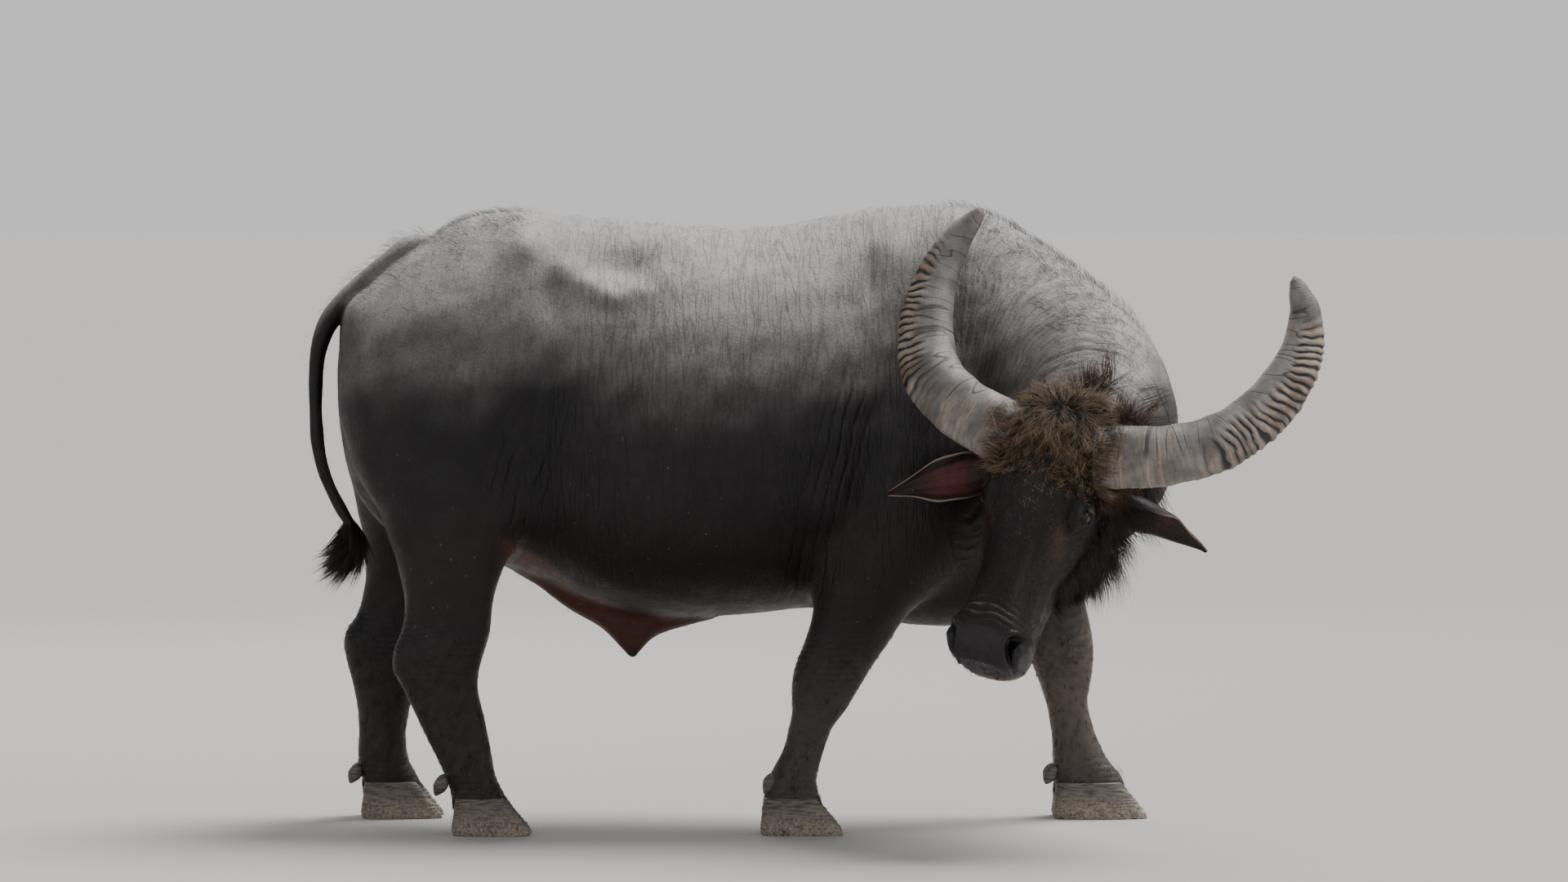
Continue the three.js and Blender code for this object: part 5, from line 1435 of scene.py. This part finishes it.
def body_layers(points, upward, face, colours):
    """Markings of the body and legs, with painted shade under the body and painted light on the far foreleg,
    each a colour and its cover, from the lowest layer up.
    """
    x, y, z = points.T
    off_legs = ease(z, 0.42, 0.50)
    edge = np.interp(x, FLAP_EDGE[:, 0], FLAP_EDGE[:, 1])
    flap = (1 - ease(z, edge - 0.012, edge + 0.012)) * ease(z, 0.30, 0.35)
    flap *= ease(x, -0.612, -0.568) * (1 - ease(x, -0.12, 0.0))
    flap *= 1 - ease(np.abs(y), 0.27, 0.36)
    inner_thigh = bell(points, (-0.640, 0, 0.600), (0.10, 0.14, 0.12))
    chest = bell(points, (0.36, -0.10, 0.62), (0.22, 0.22, 0.12))
    belly = (1 - ease(z, 0.50, 0.72)) * off_legs
    shin = 0.18 + 0.42 * ease(x, -0.3, -0.1) + 0.06 * waves(points, 0.03, 41)
    shin *= 1 - ease(z, 0.20, 0.48)
    # The far foreleg is paler: partly a dusting on it, partly painted light falling on it from the side.
    far_fore_dust_and_light = bell(points, (0.60, 0.18, 0.28), (0.16, 0.14, 0.22)) * (0.75 + 0.25 * waves(points, 0.018, 42))
    mud = bell(points, (0.655, 0.18, 0.375), (0.030, 0.10, 0.070))
    mud *= ease(waves(points, 0.03, 43), -0.6, 1.2)
    return [
        ("#211511", (0.55 * belly + 0.85 * chest).clip(0, 0.85)),
        # Painted shade: near-black on faces that turn downwards, under the trunk and neck.
        ("#0d0908", 0.75 * ease(-upward, 0.05, 0.75) * off_legs * (1 - face)),
        (colours.red, 0.95 * flap + 0.7 * inner_thigh),
        ("#141112", bell(points, (-0.322, 0, 0.355), (0.022, 0.04, 0.022))),
        (colours.shin, shin),
        # Painted light and a dusting on the far foreleg.
        ("#6d6158", 0.60 * far_fore_dust_and_light),
        ("#6f6253", 0.6 * mud),
    ]


def face_layers(local, face, muzzle, eye_far, colours):
    """Markings of the face, with painted shade in the nostrils, each a colour and its cover, from the lowest
    layer up.
    """
    a, b, c = local.T
    lips = 0.95 * bell(local, (0.045, -0.478, -0.118), (0.055, 0.040, 0.013)) \
        + 0.6 * bell(local, (-0.03, -0.478, -0.118), (0.05, 0.040, 0.011))
    specks = ease(waves(local, 0.0065, 48) + 0.5 * waves(local, 0.03, 50), 1.15, 1.7)
    tears = sum(bell(local * [1, 1, 0], (a_at, -0.205, 0), (0.010, 0.050, 1)) for a_at in (0.078, -0.078))
    bend = 0.004 * waves(local, 0.09, 3) + 0.8 * a**2
    pale = bell(local, (0, -0.402, 0.020), (0.075, 0.020, 0.060)) * creases(b + 0.005 + bend, 0.015)
    return [
        ("#292729", 0.9 * muzzle),
        # Painted shade: near-black inside the nostrils.
        ("#080707", face * (1 - ease(nostril_field(local), 0.7, 1.05))),
        (colours.lip, face * lips),
        ("#95815f", 0.80 * face * specks * bell(local, (0.0, -0.10, 0.05), (0.050, 0.11, 0.06))),
        ("#4a3328", 0.55 * face * tears),
        ("#33261f", 0.45 * face * bell(local, (0, -0.02, 0.03), (0.12, 0.09, 0.09))),
        ("#8f8886", 0.50 * face * pale * (0.6 + 0.4 * waves(local, 0.05, 49)).clip(0, 1)),
        ("#0e0c0c", 0.92 * face * (1 - ease(eye_far, 0.030, 0.058))),
    ]


def hide_attributes(points, normals, colours):
    """What the hide's material reads at each point.

    These are its colours, with painted shade and painted light laid in among the real marks, its wet and
    wrinkled shares, the share of its pale top where a dusting and a painted top light lie, and its place
    along, over and beside the spine.
    """
    z = points[:, 2]
    upward = normals[:, 2]
    local = to_head(points)
    face = face_share(points)
    reach, side, up = along_spine(points)
    muzzle = face * (1 - ease(local[:, 1], -0.455, -0.425)) * ease(local[:, 2], -0.100, -0.085)
    eye_far = np.linalg.norm(np.abs(local) - [EYE_AT[0], -EYE_AT[1], 0.004], axis=1)
    layers = (body_layers(points, upward, face, colours)
              + face_layers(local, face, muzzle, eye_far, colours))
    wet = face * muzzle * (0.75 + 0.25 * waves(local, 0.02, 45)).clip(0, 1)
    wet += 0.3 * face * (1 - ease(eye_far, 0.022, 0.030))
    wrinkled = (0.12 + 0.38 * ease(reach, -0.55, -0.35) - 0.05 * ease(reach, 0.2, 0.5)
                + 0.3 * bell(points * [1, 0, 1], (-0.5, 0, 0.75), 0.25))
    wrinkled *= ease(z, 0.485, 0.560) * (1 - ease(-points[:, 1], 0.36, 0.44))
    uneven = 0.03 * waves(points, 0.30, 46) + 0.015 * waves(points, 0.07, 47)
    # Dust and painted top light: paler the more a face turns up, highest on the back and fading down the
    # sides as light falls off, less at the side of the rump and of the neck.
    lit_and_settled = ease(upward + uneven, -0.05, 0.92)
    dust_and_top_light_share = 0.92 * lit_and_settled * ease(z, 0.60, 1.0) * (1 - 0.85 * face)
    dust_and_top_light_share *= (1 - 0.40 * bell(points, (-0.78, 0, 1.04), (0.20, 9, 0.12))
              - 0.35 * bell(points, (0.56, -0.2, 1.02), (0.14, 0.3, 0.10)))
    return {"markings_and_painted_shading": layered(len(points), layers),
            "zones": np.stack([wet, wrinkled, dust_and_top_light_share], axis=1).clip(0, 1),
            "folds": np.stack([reach, up, side], axis=1)}


def colour(name, description, default):
    """A colour in the panel."""
    return FloatVectorProperty(name=name, description=description, subtype="COLOR", default=linear(default))


def length(name, description, default):
    """A length in the panel."""
    return FloatProperty(name=name, description=description, default=default, unit="LENGTH")


class BuffaloHide(bpy.types.PropertyGroup):
    """Sizes and colours of the hide."""
    coat_depth: length("Coat depth", "How far the hide lies inside the solids", 0.003)
    grain: length("Mesh size", "Side of the squares that the hide is made of", 0.0036)
    dark: colour("Dark", "Slate grey of the hide", "#141213")
    light: colour("Light", "Paler patches of the hide", "#1f1d1d")
    brown: colour("Brown", "Brown mottle of the hide", "#1c1614")
    # Pale colour of the upper faces: a dusting, made paler to paint the light from above.
    dust_and_top_light: colour("Dust", "Dust on the upper faces", "#c2bdbb")
    red: colour("Red", "Thin skin of the flap and sheath", "#45251b")
    shin: colour("Shin", "Dusty hair of the lower legs", "#524b45")
    ear: colour("Ear", "Skin inside the ears", "#572a28")
    lip: colour("Lip", "Pale rim of the lower lip", "#a89982")


class BuffaloKeratin(bpy.types.PropertyGroup):
    """Colours of the horns, hooves and eyes."""
    horn: colour("Horn", "Smooth horn", "#87827e")
    horn_dark: colour("Dark horn", "Darker patches of horn", "#575350")
    worn: colour("Worn", "Worn tops of the ridges", "#b89978")
    rust: colour("Rust", "Orange-brown edges of the ridges", "#8f6347")
    hoof: colour("Hoof", "Hoof horn", "#6e6661")
    earth: colour("Earth", "Dried earth on the hooves", "#a69987")
    iris: colour("Iris", "Iris of the eye", "#120b08")


class BuffaloCoat(bpy.types.PropertyGroup):
    """Lengths, amounts and colours of the hair."""
    poll_length: length("Poll", "Length of the tuft between the horns", 0.062)
    jaw_length: length("Jaw", "Length of the fringe along the jaws", 0.082)
    body_length: length("Body", "Length of the sparse bristles of the body", 0.013)
    brush_length: length("Brush", "Length of the hairs of the tail's brush", 0.090)
    amount: FloatProperty(name="Amount", description="Share of the full number of hairs", default=1.0,
                          min=0.05, max=1.0, subtype="FACTOR")
    black: colour("Black", "Dark hair at its root", "#16110e")
    brown: colour("Brown", "Brown hair", "#33221b")
    red: colour("Red", "Reddish tips along the crest", "#6b4733")
    grey: colour("Grey", "Tips of the body's bristles", "#5c5754")
    tan: colour("Tan", "Sun-bleached tips", "#a88a69")


class BuffaloStage(bpy.types.PropertyGroup):
    """The camera and the studio."""
    distance: length("Distance", "From the camera to the middle of the animal", 13.0)
    height: length("Height", "Of the camera above the floor", 1.303)
    aim_height: length("Aim", "Height that the camera is aimed at", 0.821)
    lens: FloatProperty(name="Lens", description="Focal length in millimetres", default=140.1)
    overhead: FloatProperty(name="Overhead", description="Strength of the light from above", default=4.3)
    backdrop: FloatProperty(name="Backdrop", description="Brightness at the horizon", default=0.85)
    ceiling: FloatProperty(name="Ceiling", description="Brightness overhead", default=0.42)
    floor: colour("Floor", "Colour of the floor", "#b8b5b3")


class BuildHide(bpy.types.Operator):
    """One skin for all flesh, parted only where one mesh would be too large"""
    bl_idname = "buffalo.hide"
    bl_label = "Hide"

    def execute(self, context):
        colours = context.scene.buffalo_hide
        material = hide_material(colours)
        points, faces = skin_shape(colours.grain * (1))
        kept = min(1.0, HIDE_TRIANGLES / len(triangulated(faces)))
        points, faces = thinned((points, faces), 0.9 * face_share(points), kept)
        normals = normals_of(points, four_wide(faces))
        smooth = unit(relax(normals, four_wide(faces), 0.6, DUST_AND_LIGHT_SMOOTHING))
        middles = points[faces].mean(axis=1)
        head = middles[:, 1] < HEAD_PART_Y
        front = ~head & (middles[:, 0] > FRONT_PART_X)
        leg = {name: [name + "_upper", name + "_lower"] for name in LEGS}
        parts = (("head", head, ["head", "neck"]),
                 ("front", front, ["torso", *leg["foreleg_right"], *leg["foreleg_left"]]),
                 ("rear", ~head & ~front, ["sheath", "scrotum", "tail_base", "tail_middle", "tail_end",
                                           *leg["hindleg_right"], *leg["hindleg_left"]]))
        for name, chosen, nodes in parts:
            used, corners = np.unique(faces[chosen], return_inverse=True)
            shape = points[used], four_wide(corners.reshape(-1, 3))
            piece = make_piece("hide_" + name, shape, material, nodes,
                               hide_attributes(points[used], smooth[used], colours))
            piece.data.normals_split_custom_set_from_vertices(normals[used].astype(np.float32).tolist())
        return {"FINISHED"}


class BuildEyes(bpy.types.Operator):
    """Eyeballs and the lids round them"""
    bl_idname = "buffalo.eyes"
    bl_label = "Eyes"

    def execute(self, context):
        wet = eye_material(context.scene.buffalo_keratin)
        hide = bpy.data.materials["buffalo hide"]
        for sign, side in SIDES.items():
            shape = eyeball_shape(sign)
            centre, out, up, along = eye_frame(sign)
            toward = unit(to_head(shape[0]) - centre)
            polar = np.arccos(np.clip(toward @ out, -1, 1))
            pupil = np.hypot(toward @ along / PUPIL_LONG, toward @ up / PUPIL_HIGH) + (polar > 1.5) * 9
            turn = np.arctan2(toward @ up, toward @ along)
            make_piece("eyeball_" + side, shape, wet, ["eye_" + side],
                       {"iris": np.stack([polar, pupil, turn], axis=1)})
            (points, faces), share = lid_shape(sign)
            share = np.repeat(share, len(points) // len(share))
            attributes = hide_attributes(points, normals_of(points, faces), context.scene.buffalo_hide)
            wet_edge = 1 - ease(share, 0.0, 0.05)
            attributes["zones"][:, 0] = np.maximum(attributes["zones"][:, 0], wet_edge)
            make_piece("lids_" + side, (points, faces), hide, (), attributes)
        return {"FINISHED"}


class BuildHorns(bpy.types.Operator):
    """Both horns with their growth ridges"""
    bl_idname = "buffalo.horns"
    bl_label = "Horns"

    def execute(self, context):
        keratin = horn_material(context.scene.buffalo_keratin)
        for sign, side in SIDES.items():
            shape, (ridge, reach, outer) = horn_shape(sign)
            depth = to_head(shape[0])[:, 2]
            make_piece("horn_keratin_" + side, shape, keratin, ["horn_" + side], {
                "growth": np.stack([ridge, reach, outer], axis=1),
                "fibres": np.stack([outer * 0.06 + depth, reach, 0 * reach + sign], axis=1)})
        return {"FINISHED"}


class BuildEars(bpy.types.Operator):
    """Both ears as cupped leaves of skin"""
    bl_idname = "buffalo.ears"
    bl_label = "Ears"

    def execute(self, context):
        look = context.scene.buffalo_hide
        hide = bpy.data.materials["buffalo hide"]
        for sign, side in SIDES.items():
            (points, faces), (share, across, inner) = ear_shape(sign)
            cup = inner * (1 - ease(np.abs(across + 0.1), 0.40, 0.80)) * ease(share, 0.22, 0.45)
            cup *= (1 - 0.85 * ease(share, 0.55, 0.80)) * (SHADED_CUP if sign > 0 else 1)
            rim = ease(np.abs(across), 0.90, 0.985) * ease(share, 0.25, 0.5)
            attributes = hide_attributes(points, normals_of(points, faces), look)
            markings_and_painted_shading = layered(len(points), [("#231a18", 1.0), (look.ear, cup), ("#8d7668", rim)])
            markings_and_painted_shading[:, 3] = (0.9 * inner + 0.6 * rim).clip(0, 1)
            attributes["markings_and_painted_shading"] = markings_and_painted_shading
            attributes["zones"] = np.stack([0 * cup, 0.2 + 0 * cup, 0.10 * rim], axis=1)
            make_piece("ear_skin_" + side, (points, faces), hide, ["ear_" + side], attributes)
        return {"FINISHED"}


class BuildHooves(bpy.types.Operator):
    """The claws and dewclaws of all four feet"""
    bl_idname = "buffalo.hooves"
    bl_label = "Hooves"

    def execute(self, context):
        keratin = hoof_material(context.scene.buffalo_keratin)
        for leg, (sign, rows) in LEGS.items():
            for outward in SIDES:
                side = "outer" if outward * sign > 0 else "inner"
                make_piece(f"{leg}_claw_{side}", claw_shape(rows, sign, outward), keratin,
                           [f"{leg}_hoof_{side}"])
                make_piece(f"{leg}_dew_{side}", dewclaw_shape(rows, sign, outward), keratin,
                           [f"{leg}_dewclaw_{side}"])
        return {"FINISHED"}


class BuildCoat(bpy.types.Operator):
    """Hair of the poll, horn roots, face, jaws, crest, body and legs, in tufts rooted on the hide"""
    bl_idname = "buffalo.coat"
    bl_label = "Coat"

    def execute(self, context):
        look = context.scene.buffalo_coat
        amount = look.amount * 1
        rng = np.random.default_rng(20)
        surface = skin_surface()
        middles = surface["middles"]
        x, y, z = middles.T
        local = to_head(middles)
        a, b, c = local.T
        face = face_share(middles)
        off_legs = ease(z, 0.42, 0.55)
        bleached, dark, grey, reddish = [
            hair_material(name, look.black, tip) for name, tip in (
                ("poll hair", look.tan), ("dark hair", look.brown), ("grey bristle", look.grey),
                ("reddish hair", look.red))]

        def grow(name, density, count, heading, unwrap, material, scale=None, **style):
            """Draws roots by density and grows tufts there; heading and scale are functions of the roots."""
            roots, out = scatter(surface, density, int(count * amount), rng)
            style["scale"] = scale(to_head(roots)) if scale else 1
            coat_piece(name, roots, out, along_skin(heading(roots, out), out), style, unwrap, material, rng)

        def fixed(*way):
            """One direction in the tables' frame for all roots."""
            return lambda roots, out: np.tile(np.array(way, float), (len(roots), 1))

        def poll_heading(roots, out):
            """Fanned to both sides, down over the forehead and up behind it."""
            spot = to_head(roots)
            rising = ease(spot[:, 1], 0.015, 0.075)
            return np.stack([6 * spot[:, 0], rising - 0.5, 0.35 - 0.10 * rising], axis=1) @ HEAD_TURN.T

        def face_heading(roots, out):
            """Down the face and a little to its sides."""
            spot = to_head(roots)
            return (spot * [1.5, 0, 0] + [0, -1, -0.2]) @ HEAD_TURN.T

        from_roots = [(local - mirrored(HORN[0, :3], sign)) * [0.8, 1, 1] for sign in SIDES]
        from_horn = np.linalg.norm(from_roots, axis=2).min(axis=0)
        eye_far = np.linalg.norm(np.abs(local) - [EYE_AT[0], -EYE_AT[1], 0], axis=1)
        poll = face * (1 - ease(np.abs(a), 0.105, 0.130)) * ease(c, -0.16, -0.10)
        poll *= ease(eye_far, 0.060, 0.085)
        poll *= ease(b, -0.050, 0.01) + 0.35 * ease(b, -0.125, -0.06)
        ruff = face * (1 - ease(from_horn, 0.095, 0.125)) * (c > -0.12)
        for part, chosen, material, stand in (("front", c > -0.01, bleached, 0.35),
                                              ("crown", c <= -0.01, reddish, 0.75)):
            grow("poll_curls_" + part, (poll + 0.8 * ruff) * chosen, 860, poll_heading, head_unwrap,
                 material,
                 lambda spot: 0.35 + 0.65 * ease(spot[:, 1], -0.07, 0.02),
                 hairs=8, length=look.poll_length, stray=1.0, rise=0.50, curl=0.13, coils=0.8, hang=0.10,
                 spread=0.011, clump=0.35, frizz=0.08, width=0.0009, stand=stand)
        for sign, part in SIDES.items():
            roots, out = horn_root_points(sign, int(230 * amount), rng)
            lie = along_skin(np.tile(HEAD_TURN @ [0.95 * sign, 0.10, 0.05], (len(roots), 1)), out)
            style = dict(hairs=6, length=0.052, stray=0.45, rise=0.30, curl=0.06, coils=0.6, hang=0.10,
                         spread=0.010, clump=0.3, frizz=0.06, width=0.0009, stand=0.05)
            coat_piece("horn_ruff_" + part, roots, out, lie, style, head_unwrap, bleached, rng)

        jaw = face * ease(np.abs(a), 0.040, 0.065) * (1 - ease(b, 0.02, 0.06))
        jaw *= ease(b, -0.310, -0.260)
        jaw *= 1 - ease(c, -0.105 + 0.35 * np.minimum(b + 0.10, 0), -0.045)
        for sign, part in SIDES.items():
            outward = HEAD_TURN @ [0.8 * sign, -0.50, -0.35]
            grow("jaw_fringe_" + part, jaw * (a * sign > 0), 950, fixed(*outward), head_unwrap, dark,
                 lambda spot: ((0.30 + 0.70 * (1 - ease(spot[:, 2], -0.17, -0.06)))
                               * (0.45 + 0.55 * ease(spot[:, 1], -0.26, -0.10))),
                 hairs=7, length=look.jaw_length, stray=0.35, rise=0.55, curl=0.06, hang=0.10, spread=0.014,
                 clump=0.25, frizz=0.07, width=0.0008, stand=0.85)

        short = face * (1 - 0.7 * poll).clip(0, 1) * (1 - ease(b, 0.02, 0.06))
        short *= ease(b, -0.43, -0.38) * ease(eye_far, 0.024, 0.034)
        grow("face_hair", short, 3300, face_heading, head_unwrap, dark,
             hairs=2, length=0.013, stray=0.30, rise=0.10, spread=0.016, frizz=0.03, width=0.0007)

        reach = along_spine(middles)[0]
        crest = (1 - face) * ease(surface["normals"][:, 2], 0.55, 0.9)
        crest *= ease(reach, 0.30, 0.50) + 0.8 * (1 - ease(x, -0.62, -0.50))
        grow("crest_hair", crest, 1100, fixed(-0.8, 0.0, -0.3), body_unwrap, reddish,
             hairs=5, length=0.026, stray=0.5, rise=0.6, curl=0.04, spread=0.022, frizz=0.06, width=0.0006,
             stand=0.35)

        body = (1 - face) * off_legs * (0.5 + 0.5 * waves(middles, 0.2, 61)).clip(0.15, 1)
        for part, chosen in (("near", y < 0), ("far", y >= 0)):
            grow("body_bristles_" + part, body * chosen, 1400,
                 lambda roots, out: np.array([-0.6, 0, -0.8]) + 0.25 * out, body_unwrap, grey,
                 hairs=3, length=look.body_length, stray=0.35, rise=0.30, spread=0.030, frizz=0.05,
                 width=0.0006)

        legs = (1 - ease(z, 0.36, 0.50)) * ease(z, 0.055, 0.075)
        legs *= (1 - bell(middles, (-0.35, 0, 0.42), (0.25, 0.08, 0.10))).clip(0, 1)
        grow("leg_hair", legs, 1500, fixed(-0.25, 0.0, -1.0), leg_unwrap, dark,
             hairs=4, length=0.016, stray=0.3, rise=0.25, spread=0.008, clump=0.3, frizz=0.04, width=0.0008)
        coronets = np.exp(-((z - 0.068) / 0.010) ** 2)
        grow("coronet_hair", coronets, 700, fixed(0.1, 0.0, -1.0), leg_unwrap, dark,
             hairs=5, length=0.022, stray=0.3, rise=0.20, spread=0.006, clump=0.5, frizz=0.04, width=0.0009)
        return {"FINISHED"}


class BuildBrush(bpy.types.Operator):
    """The brush at the end of the tail"""
    bl_idname = "buffalo.brush"
    bl_label = "Tail brush"

    def execute(self, context):
        look = context.scene.buffalo_coat
        rng = np.random.default_rng(33)
        count = int(440 * (1))
        rows = smooth_rows(SWITCH, 12)
        start = rng.integers(10, int(len(rows) * 0.62), count)
        centre, ahead = rows[start, :3], course(rows[:, :3])[start]
        turn = rng.uniform(0, 2 * math.pi, count)[:, None]
        over = np.stack([-ahead[:, 2], 0 * ahead[:, 0], ahead[:, 0]], axis=1)
        out = unit(np.cos(turn) * over + np.sin(turn) * np.array([0, 1.0, 0]))
        roots = centre + out * rows[start, 3:4] / 2 * 0.45
        sweep = unit(rows[np.minimum(start + 30, len(rows) - 1), :3] - centre)
        hair = hair_material("brush hair", look.black, look.brown, 0.6)
        style = dict(hairs=10, length=look.brush_length, stray=0.18, rise=0.10, curl=0.04, hang=0.05,
                     spread=0.006, clump=0.6, frizz=0.04, width=0.0012)
        coat_piece("tail_brush", roots, out, along_skin(0.6 * sweep + [-0.62, 0, -0.38], out), style,
                   tail_unwrap, hair, rng, ["tail_switch"])
        return {"FINISHED"}


FLOOR_REACH = 400.0  # of the floor to each side, so that its edge doesn't show


class BuildStage(bpy.types.Operator):
    """Floor, lights and camera"""
    bl_idname = "buffalo.stage"
    bl_label = "Stage"

    def execute(self, context):
        look = context.scene.buffalo_stage
        middle = Vector(SHIFT)

        def placed(name, data, spot=(0, 0, 0), aim=None):
            """A new object in the scene, its own -Z turned to a point where one is given."""
            made = bpy.data.objects.new(name, data)
            made.location = spot
            if aim is not None:
                made.rotation_euler = (Vector(aim) - Vector(spot)).to_track_quat("-Z", "Y").to_euler()
            context.scene.collection.objects.link(made)
            return made

        # Matt paper: almost even, with cloudy patches about 0.9 m across.
        paper, shader, add = new_material("matt backdrop paper", roughness=0.85)
        clouds = add("TexNoise", {"Vector": add("TexCoord")["Object"], "Scale": 1 / 0.9, "Detail": 2,
                                  "Roughness": 0.55})[0]
        tone = add("Mix", {0: clouds, 6: look.floor, 7: [share * 0.97 for share in look.floor]})[2]
        finish_material(paper, shader, add, tone)
        corners = FLOOR_REACH * np.array([[-1, -1, 0], [1, -1, 0], [1, 1, 0], [-1, 1, 0]])
        floor = placed("floor", bare_mesh("floor", corners, np.array([[0, 1, 2, 3]])))
        floor.data.materials.append(paper)

        camera = placed("camera", bpy.data.cameras.new("camera"),
                        middle + Vector((0, -look.distance, look.height)),
                        middle + Vector((0, 0, look.aim_height)))
        camera.data.lens = look.lens
        camera.data.sensor_width = 36
        context.scene.camera = camera

        sun = placed("overhead light", bpy.data.lights.new("overhead light", "SUN"), (0, 0, 0),
                     (-0.45, -0.30, -1.0))
        sun.data.energy = look.overhead
        sun.data.angle = math.radians(35)
        for name, spot, size, power in (("front light", (-4.0, -7.0, 3.0), 4.0, 60),
                                        ("side light", (5.5, -3.0, 2.6), 3.0, 70),
                                        ("rear light", (-2.0, 5.0, 4.0), 3.5, 90)):
            lamp = placed(name, bpy.data.lights.new(name, "AREA"), middle + Vector(spot),
                          middle + Vector((0, 0, 0.8)))
            lamp.data.size = size
            lamp.data.energy = power

        sky = bpy.data.worlds.new("soft studio")
        sky.use_nodes = True
        tree = sky.node_tree
        up = node(tree, "SeparateXYZ", [node(tree, "TexCoord")["Generated"]])[2]
        bright = node(tree, "MapRange", [up, 0.06, 0.22, look.backdrop, look.ceiling])[0]
        tree.nodes["Background"].inputs["Color"].default_value = (*linear("#efeeee"), 1)
        tree.links.new(bright, tree.nodes["Background"].inputs["Strength"])
        context.scene.world = sky
        return {"FINISHED"}


STEPS = (BuildHide, BuildEyes, BuildHorns, BuildEars, BuildHooves, BuildCoat, BuildBrush, BuildStage)
LOOKS = {"buffalo_hide": BuffaloHide, "buffalo_keratin": BuffaloKeratin, "buffalo_coat": BuffaloCoat,
         "buffalo_stage": BuffaloStage}


class BuffaloPanel(bpy.types.Panel):
    """Lists the sizes and colours, and the steps that build the model"""
    bl_idname = "VIEW3D_PT_buffalo"
    bl_label = "Water Buffalo"
    bl_space_type = "VIEW_3D"
    bl_region_type = "UI"
    bl_category = "Buffalo"

    def draw(self, context):
        for key, group in LOOKS.items():
            box = self.layout.box()
            for name in group.__annotations__:
                box.prop(getattr(context.scene, key), name)
        for step in STEPS:
            self.layout.operator(step.bl_idname)


def register():
    """Registers the classes and puts the sizes and colours on the scene."""
    for cls in (*LOOKS.values(), *STEPS, BuffaloPanel):
        bpy.utils.register_class(cls)
    for key, group in LOOKS.items():
        setattr(bpy.types.Scene, key, PointerProperty(type=group))


def unregister():
    """Takes them away again."""
    for key in LOOKS:
        delattr(bpy.types.Scene, key)
    for cls in (BuffaloPanel, *reversed(STEPS), *LOOKS.values()):
        bpy.utils.unregister_class(cls)


def main():
    """Builds the model in order."""
    register()
    for step in STEPS:
        area, name = step.bl_idname.split(".")
        getattr(getattr(bpy.ops, area), name)()


if __name__ == "__main__":
    main()
